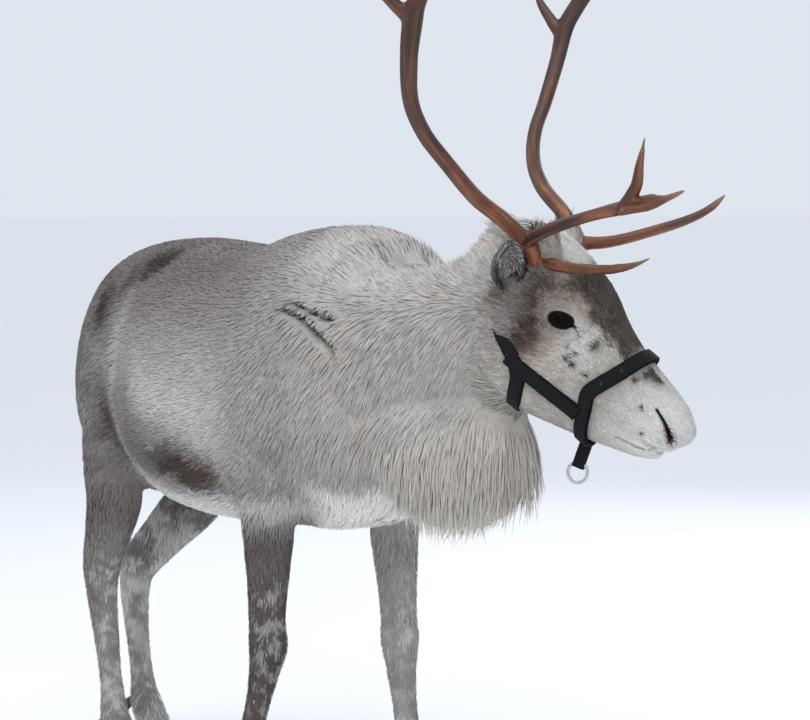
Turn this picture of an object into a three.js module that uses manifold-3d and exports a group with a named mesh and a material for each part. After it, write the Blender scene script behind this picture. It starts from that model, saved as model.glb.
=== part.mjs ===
import * as THREE from 'three';
import Module from 'manifold-3d';
import { mergeVertices } from 'three/addons/utils/BufferGeometryUtils.js';

// Reindeer in a still walking pose, millimetres, +X forward along the trunk, +Y the animal's left, +Z up
const GAP = 0.3;
const HEAD_LENGTH = 395;
const HEAD_YAW = THREE.MathUtils.degToRad(35);
const HEAD_PITCH = THREE.MathUtils.degToRad(39);
const NOSE_TIP = [676, 198, 739];
const EYE_RADIUS = 22;
const EYE_AT = [142, 65, -1];
const EAR_LENGTH = 125;
const CLAW_LENGTH = 92;
const CLAW_WIDTH = 42;
const CLAW_HEIGHT = 50;
const STRAP_WIDTH = 22;
const STRAP_THICK = 6;
const RING_RADIUS = 16;
const RING_WIRE = 2.6;
const LOCK_LENGTH = 150;

const wasm = await Module();
wasm.setup();

const SLOTS = {
  coat: new THREE.MeshStandardMaterial({ color: '#b9aea2', roughness: 0.95 }),
  mane: new THREE.MeshStandardMaterial({ color: '#d9d0c2', roughness: 0.95 }),
  antler: new THREE.MeshStandardMaterial({ color: '#8a5530', roughness: 0.6 }),
  hoof: new THREE.MeshStandardMaterial({ color: '#2b2623', roughness: 0.5 }),
  eye: new THREE.MeshStandardMaterial({ color: '#14100e', roughness: 0.1 }),
  webbing: new THREE.MeshStandardMaterial({ color: '#15161a', roughness: 0.85 }),
  metal: new THREE.MeshStandardMaterial({ color: '#b7bcc0', roughness: 0.3, metalness: 1 }),
};

// Small vector helpers
const vec = (p) => new THREE.Vector3(p[0], p[1], p[2]);
const mix = (a, b, t) => a + (b - a) * t;
const along = (a, b, t) => a.map((value, i) => mix(value, b[i], t));

function spline(values, t) {
  const last = values.length - 1;
  const place = Math.min(Math.max(t, 0), 1) * last;
  const i = Math.min(Math.floor(place), last - 1);
  const f = place - i;
  const p0 = values[Math.max(i - 1, 0)];
  const p1 = values[i];
  const p2 = values[i + 1];
  const p3 = values[Math.min(i + 2, last)];
  const bend = (a, b, c, d) =>
    0.5 * (2 * b + (c - a) * f + (2 * a - 5 * b + 4 * c - d) * f * f + (3 * b - a - 3 * c + d) * f * f * f);
  if (Array.isArray(p1)) {
    return p1.map((value, k) => bend(p0[k], value, p2[k], p3[k]));
  }
  return bend(p0, p1, p2, p3);
}

// Head directions and head places: forward along the face, left, up from the face
const FACE = vec([
  Math.cos(HEAD_YAW) * Math.cos(HEAD_PITCH),
  Math.sin(HEAD_YAW) * Math.cos(HEAD_PITCH),
  -Math.sin(HEAD_PITCH),
]);
const LEFT = vec([-Math.sin(HEAD_YAW), Math.cos(HEAD_YAW), 0]);
const CROWN = FACE.clone().cross(LEFT);
const LEVEL = vec([Math.cos(HEAD_YAW), Math.sin(HEAD_YAW), 0]);
const SKULL_BACK = vec(NOSE_TIP).addScaledVector(FACE, -HEAD_LENGTH);

function onHead(x, y, z) {
  const place = SKULL_BACK.clone();
  place.addScaledVector(FACE, x);
  place.addScaledVector(LEFT, y);
  place.addScaledVector(CROWN, z);
  return place.toArray();
}

function headWay(x, y, z) {
  return new THREE.Vector3().addScaledVector(FACE, x).addScaledVector(LEFT, y).addScaledVector(CROWN, z);
}

// Solids and meshes
function closed(positions, triangles) {
  const mesh = new wasm.Mesh({
    numProp: 3,
    vertProperties: new Float32Array(positions),
    triVerts: new Uint32Array(triangles),
  });
  mesh.merge();
  return new wasm.Manifold(mesh);
}

function largest(solid) {
  const bodies = solid.decompose();
  let best = bodies[0];
  for (const body of bodies) {
    if (body.volume() > best.volume()) best = body;
  }
  return best;
}

function joined(solids) {
  return solids.reduce((whole, solid) => whole.add(solid));
}

// Keeps the side that the direction points to, half a gap back from the plane
function ahead(solid, at, way, gap = GAP) {
  const normal = vec(way).normalize();
  return solid.trimByPlane(normal.toArray(), normal.dot(vec(at)) + gap / 2);
}

function behind(solid, at, way, gap = GAP) {
  return ahead(solid, at, way.map((value) => -value), gap);
}

// Loft through rings: each key is [place, half width to the side, reach up, reach down]
function loft(keys, options = {}) {
  const { rings = 16, segments = 16, side = [0, 1, 0], grow = 0, power = 2, tip = 0.5, swell = null } = options;
  const places = keys.map((key) => key[0]);
  const sizes = keys.map((key) => key.slice(1, 4));
  const sides = keys.map((key) => key[4] ?? side);
  const positions = [];
  const triangles = [];
  const step = 0.5 / (rings * 4);
  const way = (t) => {
    const before = vec(spline(places, Math.max(t - step, 0)));
    return vec(spline(places, Math.min(t + step, 1))).sub(before);
  };
  for (let i = 0; i <= rings; i += 1) {
    const t = i / rings;
    const at = vec(spline(places, t));
    const forward = way(t).normalize();
    const across = vec(spline(sides, t));
    across.addScaledVector(forward, -across.dot(forward)).normalize();
    const up = forward.clone().cross(across);
    const [wide, rise, drop] = spline(sizes, t).map((value) => Math.max(value, 0.6) + grow);
    for (let k = 0; k < segments; k += 1) {
      const turn = (k / segments) * Math.PI * 2;
      const c = Math.cos(turn);
      const s = Math.sin(turn);
      const round = (value) => Math.sign(value) * Math.pow(Math.abs(value), 2 / power);
      const point = at.clone().addScaledVector(across, round(c) * wide);
      point.addScaledVector(up, round(s) * (s > 0 ? rise : drop));
      if (swell) point.addScaledVector(point.clone().sub(at).normalize(), swell(point));
      positions.push(...point.toArray());
    }
  }
  for (let i = 0; i < rings; i += 1) {
    for (let k = 0; k < segments; k += 1) {
      const a = i * segments + k;
      const b = i * segments + ((k + 1) % segments);
      triangles.push(a, b, b + segments, a, b + segments, a + segments);
    }
  }
  for (const [t, first, turnOver] of [[0, 0, true], [1, rings * segments, false]]) {
    const reach = (Math.min(...spline(sizes, t)) + grow) * tip * (turnOver ? -1 : 1);
    const point = vec(spline(places, t)).addScaledVector(way(t).normalize(), reach);
    const centre = positions.length / 3;
    positions.push(...point.toArray());
    for (let k = 0; k < segments; k += 1) {
      const a = first + k;
      const b = first + ((k + 1) % segments);
      if (turnOver) triangles.push(centre, b, a);
      else triangles.push(centre, a, b);
    }
  }
  const solid = closed(positions, triangles);
  return solid;
}

function ball(at, radii, ways, { rings = 10, segments = 14, grow = 0 } = {}) {
  const positions = [];
  const triangles = [];
  const [a, b, c] = radii.map((radius) => radius + grow);
  const put = (x, y, z) => {
    const point = vec(at).addScaledVector(ways[0], x).addScaledVector(ways[1], y).addScaledVector(ways[2], z);
    positions.push(...point.toArray());
  };
  put(0, 0, -c);
  for (let i = 1; i < rings; i += 1) {
    const lift = -Math.PI / 2 + (Math.PI * i) / rings;
    for (let k = 0; k < segments; k += 1) {
      const turn = (k / segments) * Math.PI * 2;
      put(a * Math.cos(lift) * Math.cos(turn), b * Math.cos(lift) * Math.sin(turn), c * Math.sin(lift));
    }
  }
  put(0, 0, c);
  const top = positions.length / 3 - 1;
  for (let k = 0; k < segments; k += 1) {
    const next = (k + 1) % segments;
    triangles.push(0, 1 + next, 1 + k);
    const last = 1 + (rings - 2) * segments;
    triangles.push(top, last + k, last + next);
  }
  for (let i = 0; i < rings - 2; i += 1) {
    for (let k = 0; k < segments; k += 1) {
      const p = 1 + i * segments + k;
      const q = 1 + i * segments + ((k + 1) % segments);
      triangles.push(p, q, q + segments, p, q + segments, p + segments);
    }
  }
  return closed(positions, triangles);
}

const WORLD = [vec([1, 0, 0]), vec([0, 1, 0]), vec([0, 0, 1])];
const HEAD_WAYS = [FACE, LEFT, CROWN];

// Trunk: rings from rump to chest [x, top, bottom, half width]
const TRUNK = [
  [-800, 850, 700, 42],
  [-778, 915, 630, 95],
  [-720, 974, 575, 142],
  [-630, 1009, 545, 176],
  [-520, 1019, 524, 206],
  [-400, 1012, 512, 234],
  [-275, 1005, 508, 245],
  [-150, 1017, 512, 238],
  [-60, 1038, 516, 218],
  [20, 1043, 522, 202],
  [95, 1022, 536, 184],
  [165, 985, 560, 156],
  [225, 930, 620, 105],
  [250, 870, 690, 50],
];

// Swellings and hollows of shoulder, haunch and flank: [x, z, spread along, spread up, height]
const SWELLINGS = [
  [-20, 770, 85, 150, 20],
  [-130, 720, 45, 120, -9],
  [-655, 790, 95, 130, 30],
  [-640, 640, 80, 80, 26],
  [-515, 620, 38, 90, -16],
  [-330, 600, 120, 90, 8],
  [120, 850, 45, 110, -12],
];

function trunkSwell(point) {
  if (Math.abs(point.y) < 20) return 0;
  const side = Math.min((Math.abs(point.y) - 20) / 90, 1);
  return side * SWELLINGS.reduce((sum, [x, z, long, high, rise]) => {
    const far = ((point.x - x) / long) ** 2 + ((point.z - z) / high) ** 2;
    return sum + rise * Math.exp(-far / 2);
  }, 0);
}

function trunk(grow) {
  const keys = TRUNK.map(([x, top, bottom, half]) => {
    const middle = mix(bottom, top, 0.47);
    return [[x, 0, middle], half, top - middle, middle - bottom];
  });
  return loft(keys, { rings: 20, segments: 22, power: 2.2, grow, swell: trunkSwell });
}

// Legs: [place, half width, reach forward, reach back] from inside the trunk to the pastern
const LEGS = {
  front_right: {
    keys: [
      [[10, -118, 800], 78, 95, 110],
      [[-20, -128, 690], 76, 95, 105],
      [[-50, -134, 590], 60, 74, 80],
      [[-62, -134, 520], 48, 55, 56],
      [[-76, -128, 440], 39, 44, 42],
      [[-90, -121, 365], 34, 36, 38],
      [[-95, -117, 318], 35, 39, 36],
      [[-108, -117, 268], 27, 28, 31],
      [[-132, -119, 200], 22, 22, 25],
      [[-158, -120, 135], 25, 24, 28],
      [[-165, -120, 100], 30, 31, 33],
      [[-146, -120, 66], 31, 33, 33],
      [[-128, -120, 40], 36, 36, 30],
    ],
    foot: [-118, -120],
    turn: -6,
    cut: [[-58, -134, 545], [0.08, 0.1, -1]],
  },
  front_left: {
    keys: [
      [[15, 116, 800], 78, 95, 110],
      [[-30, 124, 690], 76, 95, 105],
      [[-62, 126, 590], 60, 74, 80],
      [[-66, 122, 520], 48, 55, 56],
      [[-52, 117, 440], 39, 44, 42],
      [[-36, 112, 365], 34, 36, 38],
      [[-30, 110, 318], 35, 39, 36],
      [[-22, 109, 268], 27, 28, 31],
      [[-8, 108, 200], 22, 22, 25],
      [[4, 108, 135], 25, 24, 28],
      [[12, 108, 100], 30, 31, 33],
      [[34, 108, 66], 31, 33, 33],
      [[52, 108, 40], 36, 36, 30],
    ],
    foot: [62, 108],
    turn: 8,
    cut: [[-66, 124, 545], [0.1, -0.1, -1]],
  },
  hind_right: {
    keys: [
      [[-590, -98, 830], 104, 150, 150],
      [[-615, -112, 730], 92, 135, 125],
      [[-640, -124, 625], 68, 96, 90],
      [[-652, -126, 530], 52, 78, 72],
      [[-700, -114, 455], 43, 56, 56],
      [[-744, -104, 388], 37, 46, 48],
      [[-750, -101, 335], 31, 34, 38],
      [[-738, -100, 265], 26, 27, 29],
      [[-720, -100, 185], 23, 23, 26],
      [[-708, -100, 128], 26, 25, 29],
      [[-700, -100, 98], 30, 31, 33],
      [[-680, -100, 66], 31, 33, 33],
      [[-662, -100, 40], 36, 36, 30],
    ],
    foot: [-652, -100],
    turn: -7,
    cut: [[-648, -126, 560], [-0.35, 0.12, -1]],
  },
  hind_left: {
    keys: [
      [[-600, 98, 830], 104, 150, 150],
      [[-645, 112, 725], 92, 130, 125],
      [[-695, 122, 615], 66, 96, 90],
      [[-760, 116, 515], 50, 74, 70],
      [[-850, 94, 430], 42, 54, 54],
      [[-925, 74, 360], 36, 45, 47],
      [[-940, 69, 308], 31, 34, 38],
      [[-930, 66, 245], 26, 27, 29],
      [[-912, 64, 175], 23, 23, 26],
      [[-898, 63, 125], 26, 25, 29],
      [[-888, 62, 97], 30, 31, 33],
      [[-866, 62, 66], 31, 33, 33],
      [[-848, 62, 40], 36, 36, 30],
    ],
    foot: [-838, 62],
    turn: 6,
    cut: [[-705, 121, 590], [-0.7, -0.1, -1]],
  },
};

function leg(name, grow) {
  return loft(LEGS[name].keys, { rings: 18, segments: 11, grow });
}

// Claws: two broad crescents to a foot with flat soles, and two dew claws behind
function claw(name, inner, grow = 0) {
  const { foot, turn } = LEGS[name];
  const swing = THREE.MathUtils.degToRad(turn + inner * -7);
  const way = vec([Math.cos(swing), Math.sin(swing), 0]);
  const off = vec([-Math.sin(swing), Math.cos(swing), 0]).multiplyScalar(-inner);
  const middle = vec([foot[0], foot[1], 0]).addScaledVector(off, CLAW_WIDTH * 0.56);
  const place = (s, lift, curl) => {
    const point = middle.clone().addScaledVector(way, s * CLAW_LENGTH).addScaledVector(off, curl);
    return [point.x, point.y, lift];
  };
  const keys = [
    [place(-0.44, 16, -2), 9, 14, 18],
    [place(-0.32, 20, 1), 17, 24, 24],
    [place(-0.08, 21, 3), 20, CLAW_HEIGHT - 20, 26],
    [place(0.16, 18, 3), 20, 26, 24],
    [place(0.38, 12, 0), 16, 16, 18],
    [place(0.52, 7, -6), 9, 7, 12],
  ];
  const solid = loft(keys, { rings: 6, segments: 8, side: off.clone().negate().toArray(), grow, power: 2.3 });
  return grow > 0 ? solid : solid.trimByPlane([0, 0, 1], 0);
}

function dewClaw(name, inner, grow = 0) {
  const { keys, turn } = LEGS[name];
  const swing = THREE.MathUtils.degToRad(turn);
  const way = vec([Math.cos(swing), Math.sin(swing), 0]);
  const off = vec([-Math.sin(swing), Math.cos(swing), 0]).multiplyScalar(-inner);
  const start = vec(keys[10][0]).addScaledVector(way, -20).addScaledVector(off, 17);
  const end = start.clone().addScaledVector(way, -26).addScaledVector(off, 6);
  const low = [end.x + way.x * 4, end.y + way.y * 4, 38];
  const tip = [end.x + way.x * 14, end.y + way.y * 14, 20];
  return loft(
    [
      [[start.x, start.y, 88], 9, 9, 9],
      [[end.x, end.y, 66], 12, 11, 11],
      [low, 11, 9, 9],
      [tip, 5, 4, 4],
    ],
    { rings: 3, segments: 6, side: off.toArray(), grow },
  );
}

// Neck: from inside the chest to the back of the skull, turning to the left
function neck(grow) {
  return loft(
    [
      [[60, 0, 800], 165, 200, 190, [0, 1, 0]],
      [[150, 0, 815], 158, 182, 185, [0, 1, 0]],
      [[240, 3, 838], 140, 155, 165, [-0.15, 1, 0]],
      [[320, 12, 868], 122, 128, 140, [-0.35, 1, 0]],
      [[390, 34, 905], 104, 106, 118, [-0.5, 0.85, 0]],
      [[438, 62, 928], 84, 88, 100, LEFT.toArray()],
      [[478, 90, 915], 58, 60, 74, LEFT.toArray()],
    ],
    { rings: 9, segments: 21, grow, power: 2.1 },
  );
}

// Throat mane: a deep keel of long hair from the jaw to the breast
function keel(grow) {
  const under = loft(
    [
      [[140, -2, 720], 146, 150, 130, [0, 1, 0]],
      [[210, 0, 716], 144, 165, 142, [0, 1, 0]],
      [[282, 8, 716], 132, 165, 146, [-0.3, 1, 0]],
      [[342, 24, 730], 108, 150, 146, [-0.5, 0.85, 0]],
      [[392, 46, 752], 70, 110, 130, LEFT.toArray()],
    ],
    { rings: 8, segments: 16, grow, power: 2.2 },
  );
  const throat = ball([392, 40, 805], [72, 90, 78], [LEVEL, LEFT, WORLD[2]], { rings: 6, segments: 11, grow });
  return under.add(throat);
}

// Long locks of the mane: flat, tapered, sunk at the root, bending down and back
function maneLocks() {
  const locks = [];
  const spine = [[190, 0, 700], [250, 4, 700], [305, 14, 705], [352, 30, 722], [392, 48, 745]];
  const wide = [132, 128, 116, 96, 66];
  const deep = [128, 132, 132, 130, 118];
  const rows = [[-1, 4, 0], [-0.52, 5, 0.5], [0.02, 4, 0.1], [0.62, 4, 0.45]];
  for (const hand of [-1, 1]) {
    for (const [row, [height, columns, shift]] of rows.entries()) {
      if (row === 0 && hand > 0) continue;
      for (let column = 0; column < columns; column += 1) {
        const t = (column + shift + 0.2) / (columns - 0.1);
        const at = vec(spline(spine, t));
        const ahead = vec(spline(spine, t + 0.05)).sub(vec(spline(spine, t - 0.05))).normalize();
        const across = vec([0, 0, 1]).cross(ahead).normalize().multiplyScalar(hand);
        const turn = (height - 1) * 0.5 * Math.PI * 0.62;
        const out = across.clone().multiplyScalar(Math.cos(turn * 0.9 - 0.15));
        out.addScaledVector(vec([0, 0, 1]), Math.sin(turn)).normalize();
        const drop = mix(1, 0.1, (height + 1) / 2);
        const reach = Math.sqrt(1 - drop * drop * 0.96) * spline(wide, t) * 0.95;
        const root = at.clone().addScaledVector(across, reach);
        root.add(vec([0, 0, -drop * spline(deep, t) * 0.95]));
        const length = LOCK_LENGTH * (0.58 + 0.12 * Math.sin(column * 2.4 + row * 1.7 + hand));
        const lie = vec([0, 0, -1]).addScaledVector(ahead, -0.16).addScaledVector(out, 0.12).normalize();
        const step = (far, lift) => root.clone().addScaledVector(lie, length * far).addScaledVector(out, lift);
        const end = step(0.96, -6).addScaledVector(ahead, Math.sin(column * 1.9 + row) * 8);
        const keys = [
          [step(-0.15, -6).toArray(), 20, 7, 10],
          [step(0.2, 3).toArray(), 28, 9, 11],
          [step(0.58, 3).toArray(), 20, 8, 9],
          [end.toArray(), 3, 2, 2],
        ];
        const flat = lie.clone().cross(out).normalize();
        locks.push(loft(keys, { rings: 3, segments: 4, side: flat.toArray() }));
      }
    }
  }
  return locks;
}

// Head: rings along the face [x, top, bottom, half width]
const SKULL = [
  [-30, 54, -110, 62],
  [15, 70, -132, 76],
  [60, 80, -142, 83],
  [105, 83, -150, 85],
  [148, 73, -152, 82],
  [195, 55, -142, 70],
  [245, 38, -124, 58],
  [300, 25, -104, 51],
  [345, 17, -90, 49],
  [376, 8, -74, 44],
  [396, -6, -56, 31],
  [404, -20, -44, 14],
];

const JAW = [
  [60, -60, -158, 60],
  [110, -70, -170, 66],
  [160, -70, -170, 61],
  [215, -70, -155, 51],
  [270, -66, -137, 46],
  [320, -64, -118, 45],
  [352, -64, -105, 41],
  [370, -66, -95, 33],
  [382, -70, -86, 18],
];

function headRings(table, options) {
  const keys = table.map(([x, top, bottom, half]) => {
    const middle = (top + bottom) / 2;
    return [onHead(x, 0, middle), half, top - middle, middle - bottom];
  });
  return loft(keys, { side: LEFT.toArray(), ...options });
}

function headMass(grow) {
  const parts = [
    headRings(SKULL, { rings: 17, segments: 18, power: 2.35, grow }),
    headRings(JAW, { rings: 10, segments: 12, power: 2.3, grow }),
    loft(
      [
        [onHead(8, 0, 44), 30, 26, 20],
        [onHead(56, 0, 66), 44, 24, 22],
        [onHead(105, 0, 70), 36, 18, 20],
        [onHead(142, 0, 60), 16, 12, 10],
      ],
      { rings: 5, segments: 10, side: LEFT.toArray(), grow },
    ),
  ];
  for (const hand of [-1, 1]) {
    parts.push(ball(onHead(134, hand * 60, 12), [40, 23, 27], HEAD_WAYS, { rings: 7, segments: 12, grow }));
    parts.push(ball(onHead(366, hand * 24, -32), [32, 26, 34], HEAD_WAYS, { rings: 6, segments: 10, grow }));
    parts.push(
      loft(
        [
          [onHead(76, hand * 36, 42), 26, 26, 26],
          [onHead(56, hand * 47, 62), 23, 23, 23],
          [onHead(44, hand * 54, 78), 20, 20, 20],
        ],
        { rings: 3, segments: 9, side: FACE.toArray(), grow },
      ),
    );
  }
  return joined(parts);
}

// Eyes: looking out and a little forward, each behind an almond opening with rounded lids
function eyeWays(hand) {
  const out = headWay(0.2, hand, 0.06).normalize();
  const front = FACE.clone().addScaledVector(out, -FACE.dot(out));
  front.addScaledVector(CROWN, 0.42).addScaledVector(out, -0.42 * CROWN.dot(out)).normalize();
  const centre = vec(onHead(EYE_AT[0], hand * EYE_AT[1], EYE_AT[2]));
  return { centre, out, front, up: front.clone().cross(out).multiplyScalar(-hand) };
}

function almond(turn, wide, above, below) {
  const s = Math.sin(turn);
  const point = 1 - 0.12 * Math.pow(Math.abs(Math.cos(turn)), 6);
  return [Math.cos(turn) * wide, s * (s > 0 ? above : below) * point];
}

function lids(hand) {
  const { centre, out, front, up } = eyeWays(hand);
  const count = 16;
  const sides = 5;
  const positions = [];
  const triangles = [];
  for (let i = 0; i < count; i += 1) {
    const turn = (i / count) * Math.PI * 2;
    const [x, y] = almond(turn, 19.5, 12, 11);
    const reach = Math.sqrt(24 * 24 - x * x - y * y) + 1.5;
    const rim = centre.clone().addScaledVector(front, x).addScaledVector(up, y).addScaledVector(out, reach);
    const flat = front.clone().multiplyScalar(Math.cos(turn)).addScaledVector(up, Math.sin(turn));
    const thick = Math.sin(turn) > 0.2 ? 4.4 : 3.4;
    for (let k = 0; k < sides; k += 1) {
      const angle = (k / sides) * Math.PI * 2 + 0.3;
      const point = rim.clone().addScaledVector(flat, Math.cos(angle) * 4.5 + 2.5);
      positions.push(...point.addScaledVector(out, Math.sin(angle) * thick - 2.6).toArray());
    }
  }
  for (let i = 0; i < count; i += 1) {
    for (let k = 0; k < sides; k += 1) {
      const a = i * sides + k;
      const b = i * sides + ((k + 1) % sides);
      const c = ((i + 1) % count) * sides + ((k + 1) % sides);
      const d = ((i + 1) % count) * sides + k;
      triangles.push(a, b, c, a, c, d);
    }
  }
  const solid = closed(positions, triangles);
  return solid.volume() < 0 ? closed(positions, triangles.reverse()) : solid;
}

// The space before the eye that the lids leave open
function opening(hand) {
  const { centre, out, front } = eyeWays(hand);
  const keys = [
    [centre.clone().addScaledVector(out, 4).toArray(), 19.5, 12, 11],
    [centre.clone().addScaledVector(out, 16).toArray(), 20, 12.5, 11.5],
    [centre.clone().addScaledVector(out, 44).toArray(), 27, 19, 17],
  ];
  return loft(keys, { rings: 2, segments: 12, side: front.clone().multiplyScalar(hand).toArray(), tip: 0.1 });
}

// Ears: a leaf-shaped cup on a narrow base
function earFrame(hand) {
  const base = vec(onHead(46, hand * 76, -14));
  const tip = vec(onHead(26, hand * 160, 54));
  const way = tip.clone().sub(base).normalize();
  const opening = headWay(0.75, hand * 0.35, -0.1);
  opening.addScaledVector(way, -opening.dot(way)).normalize();
  return { base, way, opening, across: way.clone().cross(opening) };
}

function ear(hand, grow = 0) {
  const { base, way, opening, across } = earFrame(hand);
  const place = (t, shift) => base.clone().addScaledVector(way, t * EAR_LENGTH).addScaledVector(opening, shift).toArray();
  const side = across.toArray();
  const outer = loft(
    [
      [place(-0.12, 0), 17, 16, 17],
      [place(0.1, 0), 22, 17, 19],
      [place(0.32, 0), 29, 16, 20],
      [place(0.56, 1), 29, 13, 17],
      [place(0.8, 3), 20, 9, 11],
      [place(1, 7), 6, 4, 5],
    ],
    { rings: 7, segments: 10, side, grow },
  );
  if (grow > 0) return outer;
  const hollow = loft(
    [
      [place(0.1, 16), 5, 8, 5],
      [place(0.24, 13), 15, 16, 14],
      [place(0.42, 13), 22, 24, 19],
      [place(0.62, 13), 21, 22, 17],
      [place(0.8, 12), 13, 16, 11],
      [place(0.93, 12), 4, 8, 5],
    ],
    { rings: 6, segments: 9, side },
  );
  return outer.subtract(hollow);
}

// Nostrils and the line of the mouth
function faceCuts() {
  const cuts = [];
  for (const hand of [-1, 1]) {
    cuts.push(
      loft(
        [
          [onHead(342, hand * 51, -14), 3, 2, 2],
          [onHead(362, hand * 49, -22), 6, 3.5, 3.5],
          [onHead(382, hand * 42, -34), 9, 5, 6],
          [onHead(393, hand * 34, -44), 5, 4, 3],
        ],
        { rings: 5, segments: 6, side: LEFT.toArray() },
      ),
    );
  }
  const keys = [];
  for (let i = 0; i <= 12; i += 1) {
    const turn = mix(-1, 1, i / 12);
    const back = Math.pow(Math.abs(turn), 2.4);
    const drop = mix(-56, -92, Math.pow(Math.abs(turn), 1.6));
    keys.push([onHead(mix(408, 318, back), turn * 52, drop), 9, 1.6, 1.6, FACE.toArray()]);
  }
  cuts.push(loft(keys, { rings: 14, segments: 5, tip: 0.2 }));
  return cuts;
}

// Antlers: places are [forward of the nose, out to the side, above the nose], radius, flattening
function antlerPlace(hand, [front, out, lift]) {
  return vec(NOSE_TIP).addScaledVector(LEVEL, front).addScaledVector(LEFT, hand * out)
    .add(vec([0, 0, lift])).toArray();
}

const ANTLERS = {
  right: {
    hand: -1,
    beam: [
      [[-244, 50, 236], 15, 15],
      [[-248, 78, 272], 14, 14],
      [[-276, 118, 312], 13, 13],
      [[-308, 155, 347], 13, 12],
      [[-335, 200, 396], 12.5, 11.5],
      [[-356, 240, 440], 12.5, 11],
      [[-360, 285, 488], 13, 11],
      [[-350, 318, 546], 14, 11],
      [[-338, 335, 597], 16, 11],
      [[-325, 343, 636], 15, 11],
      [[-290, 350, 690], 14, 10],
      [[-240, 348, 750], 14, 9],
      [[-185, 332, 806], 16, 8],
      [[-130, 305, 848], 12, 7],
      [[-85, 275, 876], 4, 3],
    ],
    brow: [
      [[-240, 54, 250], 11, 11],
      [[-205, 62, 240], 10, 9],
      [[-168, 60, 236], 9, 8],
      [[-128, 52, 235], 9, 7],
      [[-92, 44, 241], 7, 5],
      [[-64, 38, 253], 2, 2],
    ],
    bez: [
      [[-250, 86, 280], 12, 12],
      [[-205, 100, 297], 12, 10],
      [[-150, 120, 313], 13, 9],
      [[-95, 140, 326], 17, 8],
      [[-45, 156, 335], 20, 7],
      [[-8, 166, 341], 13, 6],
      [[28, 172, 355], 3, 3],
    ],
    bez_tine: [
      [[-76, 148, 328], 10, 7],
      [[-50, 162, 360], 10, 7],
      [[-40, 174, 394], 7, 6],
      [[-30, 182, 434], 2, 2],
    ],
    back_tine: [
      [[-340, 336, 604], 12, 9],
      [[-368, 350, 634], 10, 8],
      [[-394, 362, 664], 7, 6],
      [[-412, 372, 700], 2, 2],
    ],
    crown_tine: [
      [[-225, 344, 764], 11, 8],
      [[-228, 352, 808], 9, 7],
      [[-214, 352, 852], 6, 5],
      [[-196, 346, 888], 2, 2],
    ],
  },
  left: {
    hand: 1,
    beam: [
      [[-222, 50, 240], 15, 15],
      [[-218, 64, 276], 14, 14],
      [[-250, 100, 318], 13, 13],
      [[-304, 148, 362], 13, 12],
      [[-336, 195, 404], 12.5, 11.5],
      [[-350, 240, 452], 12.5, 11],
      [[-348, 288, 508], 13, 11],
      [[-341, 328, 578], 14, 11],
      [[-334, 344, 628], 16, 11],
      [[-318, 352, 662], 15, 11],
      [[-285, 356, 710], 14, 10],
      [[-238, 352, 765], 14, 9],
      [[-182, 336, 816], 16, 8],
      [[-126, 308, 856], 12, 7],
      [[-80, 280, 882], 4, 3],
    ],
    bez: [
      [[-218, 64, 274], 12, 12],
      [[-180, 76, 274], 11, 10],
      [[-140, 92, 282], 11, 9],
      [[-70, 132, 305], 12, 8],
      [[-30, 158, 326], 10, 6],
      [[-5, 172, 350], 3, 2],
    ],
    back_tine: [
      [[-338, 342, 616], 12, 9],
      [[-362, 352, 646], 10, 8],
      [[-384, 362, 676], 7, 6],
      [[-400, 370, 712], 2, 2],
    ],
    crown_tine: [
      [[-228, 350, 776], 11, 8],
      [[-232, 356, 818], 9, 7],
      [[-220, 356, 862], 6, 5],
      [[-202, 350, 898], 2, 2],
    ],
  },
};

function tine(side, name, { rings = 12, segments = 9, grow = 0, from = 0, to = 99 } = {}) {
  const { hand } = ANTLERS[side];
  const keys = ANTLERS[side][name].slice(from, to).map(([place, wide, thin]) => {
    return [antlerPlace(hand, place), wide, thin, thin];
  });
  return loft(keys, { rings, segments, grow, side: LEVEL.clone().add(vec([0, 0, 0.4])).toArray() });
}

// Webbing: a flat band swept over places on the coat
function band(points, normals, width, thick, sunk, round) {
  const positions = [];
  const triangles = [];
  const count = points.length;
  for (let i = 0; i < count; i += 1) {
    const next = points[round ? (i + 1) % count : Math.min(i + 1, count - 1)];
    const previous = points[round ? (i + count - 1) % count : Math.max(i - 1, 0)];
    const forward = next.clone().sub(previous).normalize();
    const normal = normals[i].clone();
    normal.addScaledVector(forward, -normal.dot(forward)).normalize();
    const across = forward.clone().cross(normal);
    for (const [s, h] of [[-0.5, -sunk], [0.5, -sunk], [0.46, thick], [-0.46, thick]]) {
      const corner = points[i].clone().addScaledVector(across, s * width);
      positions.push(...corner.addScaledVector(normal, h).toArray());
    }
  }
  const spans = round ? count : count - 1;
  for (let i = 0; i < spans; i += 1) {
    for (let k = 0; k < 4; k += 1) {
      const a = i * 4 + k;
      const b = i * 4 + ((k + 1) % 4);
      const c = ((i + 1) % count) * 4 + ((k + 1) % 4);
      const d = ((i + 1) % count) * 4 + k;
      triangles.push(a, c, b, a, d, c);
    }
  }
  if (!round) {
    for (let k = 1; k < 3; k += 1) {
      triangles.push(0, k, k + 1);
      const last = (count - 1) * 4;
      triangles.push(last, last + k + 1, last + k);
    }
  }
  const solid = closed(positions, triangles);
  return solid.volume() < 0 ? closed(positions, triangles.reverse()) : solid;
}

function meshOf(solid) {
  const { vertProperties, triVerts, numProp } = solid.getMesh();
  const positions = new Float32Array((vertProperties.length / numProp) * 3);
  for (let i = 0; i < positions.length / 3; i += 1) {
    for (let k = 0; k < 3; k += 1) positions[i * 3 + k] = vertProperties[i * numProp + k];
  }
  const geometry = new THREE.BufferGeometry();
  geometry.setAttribute('position', new THREE.BufferAttribute(positions, 3));
  geometry.setIndex([...triVerts]);
  return geometry;
}

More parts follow.
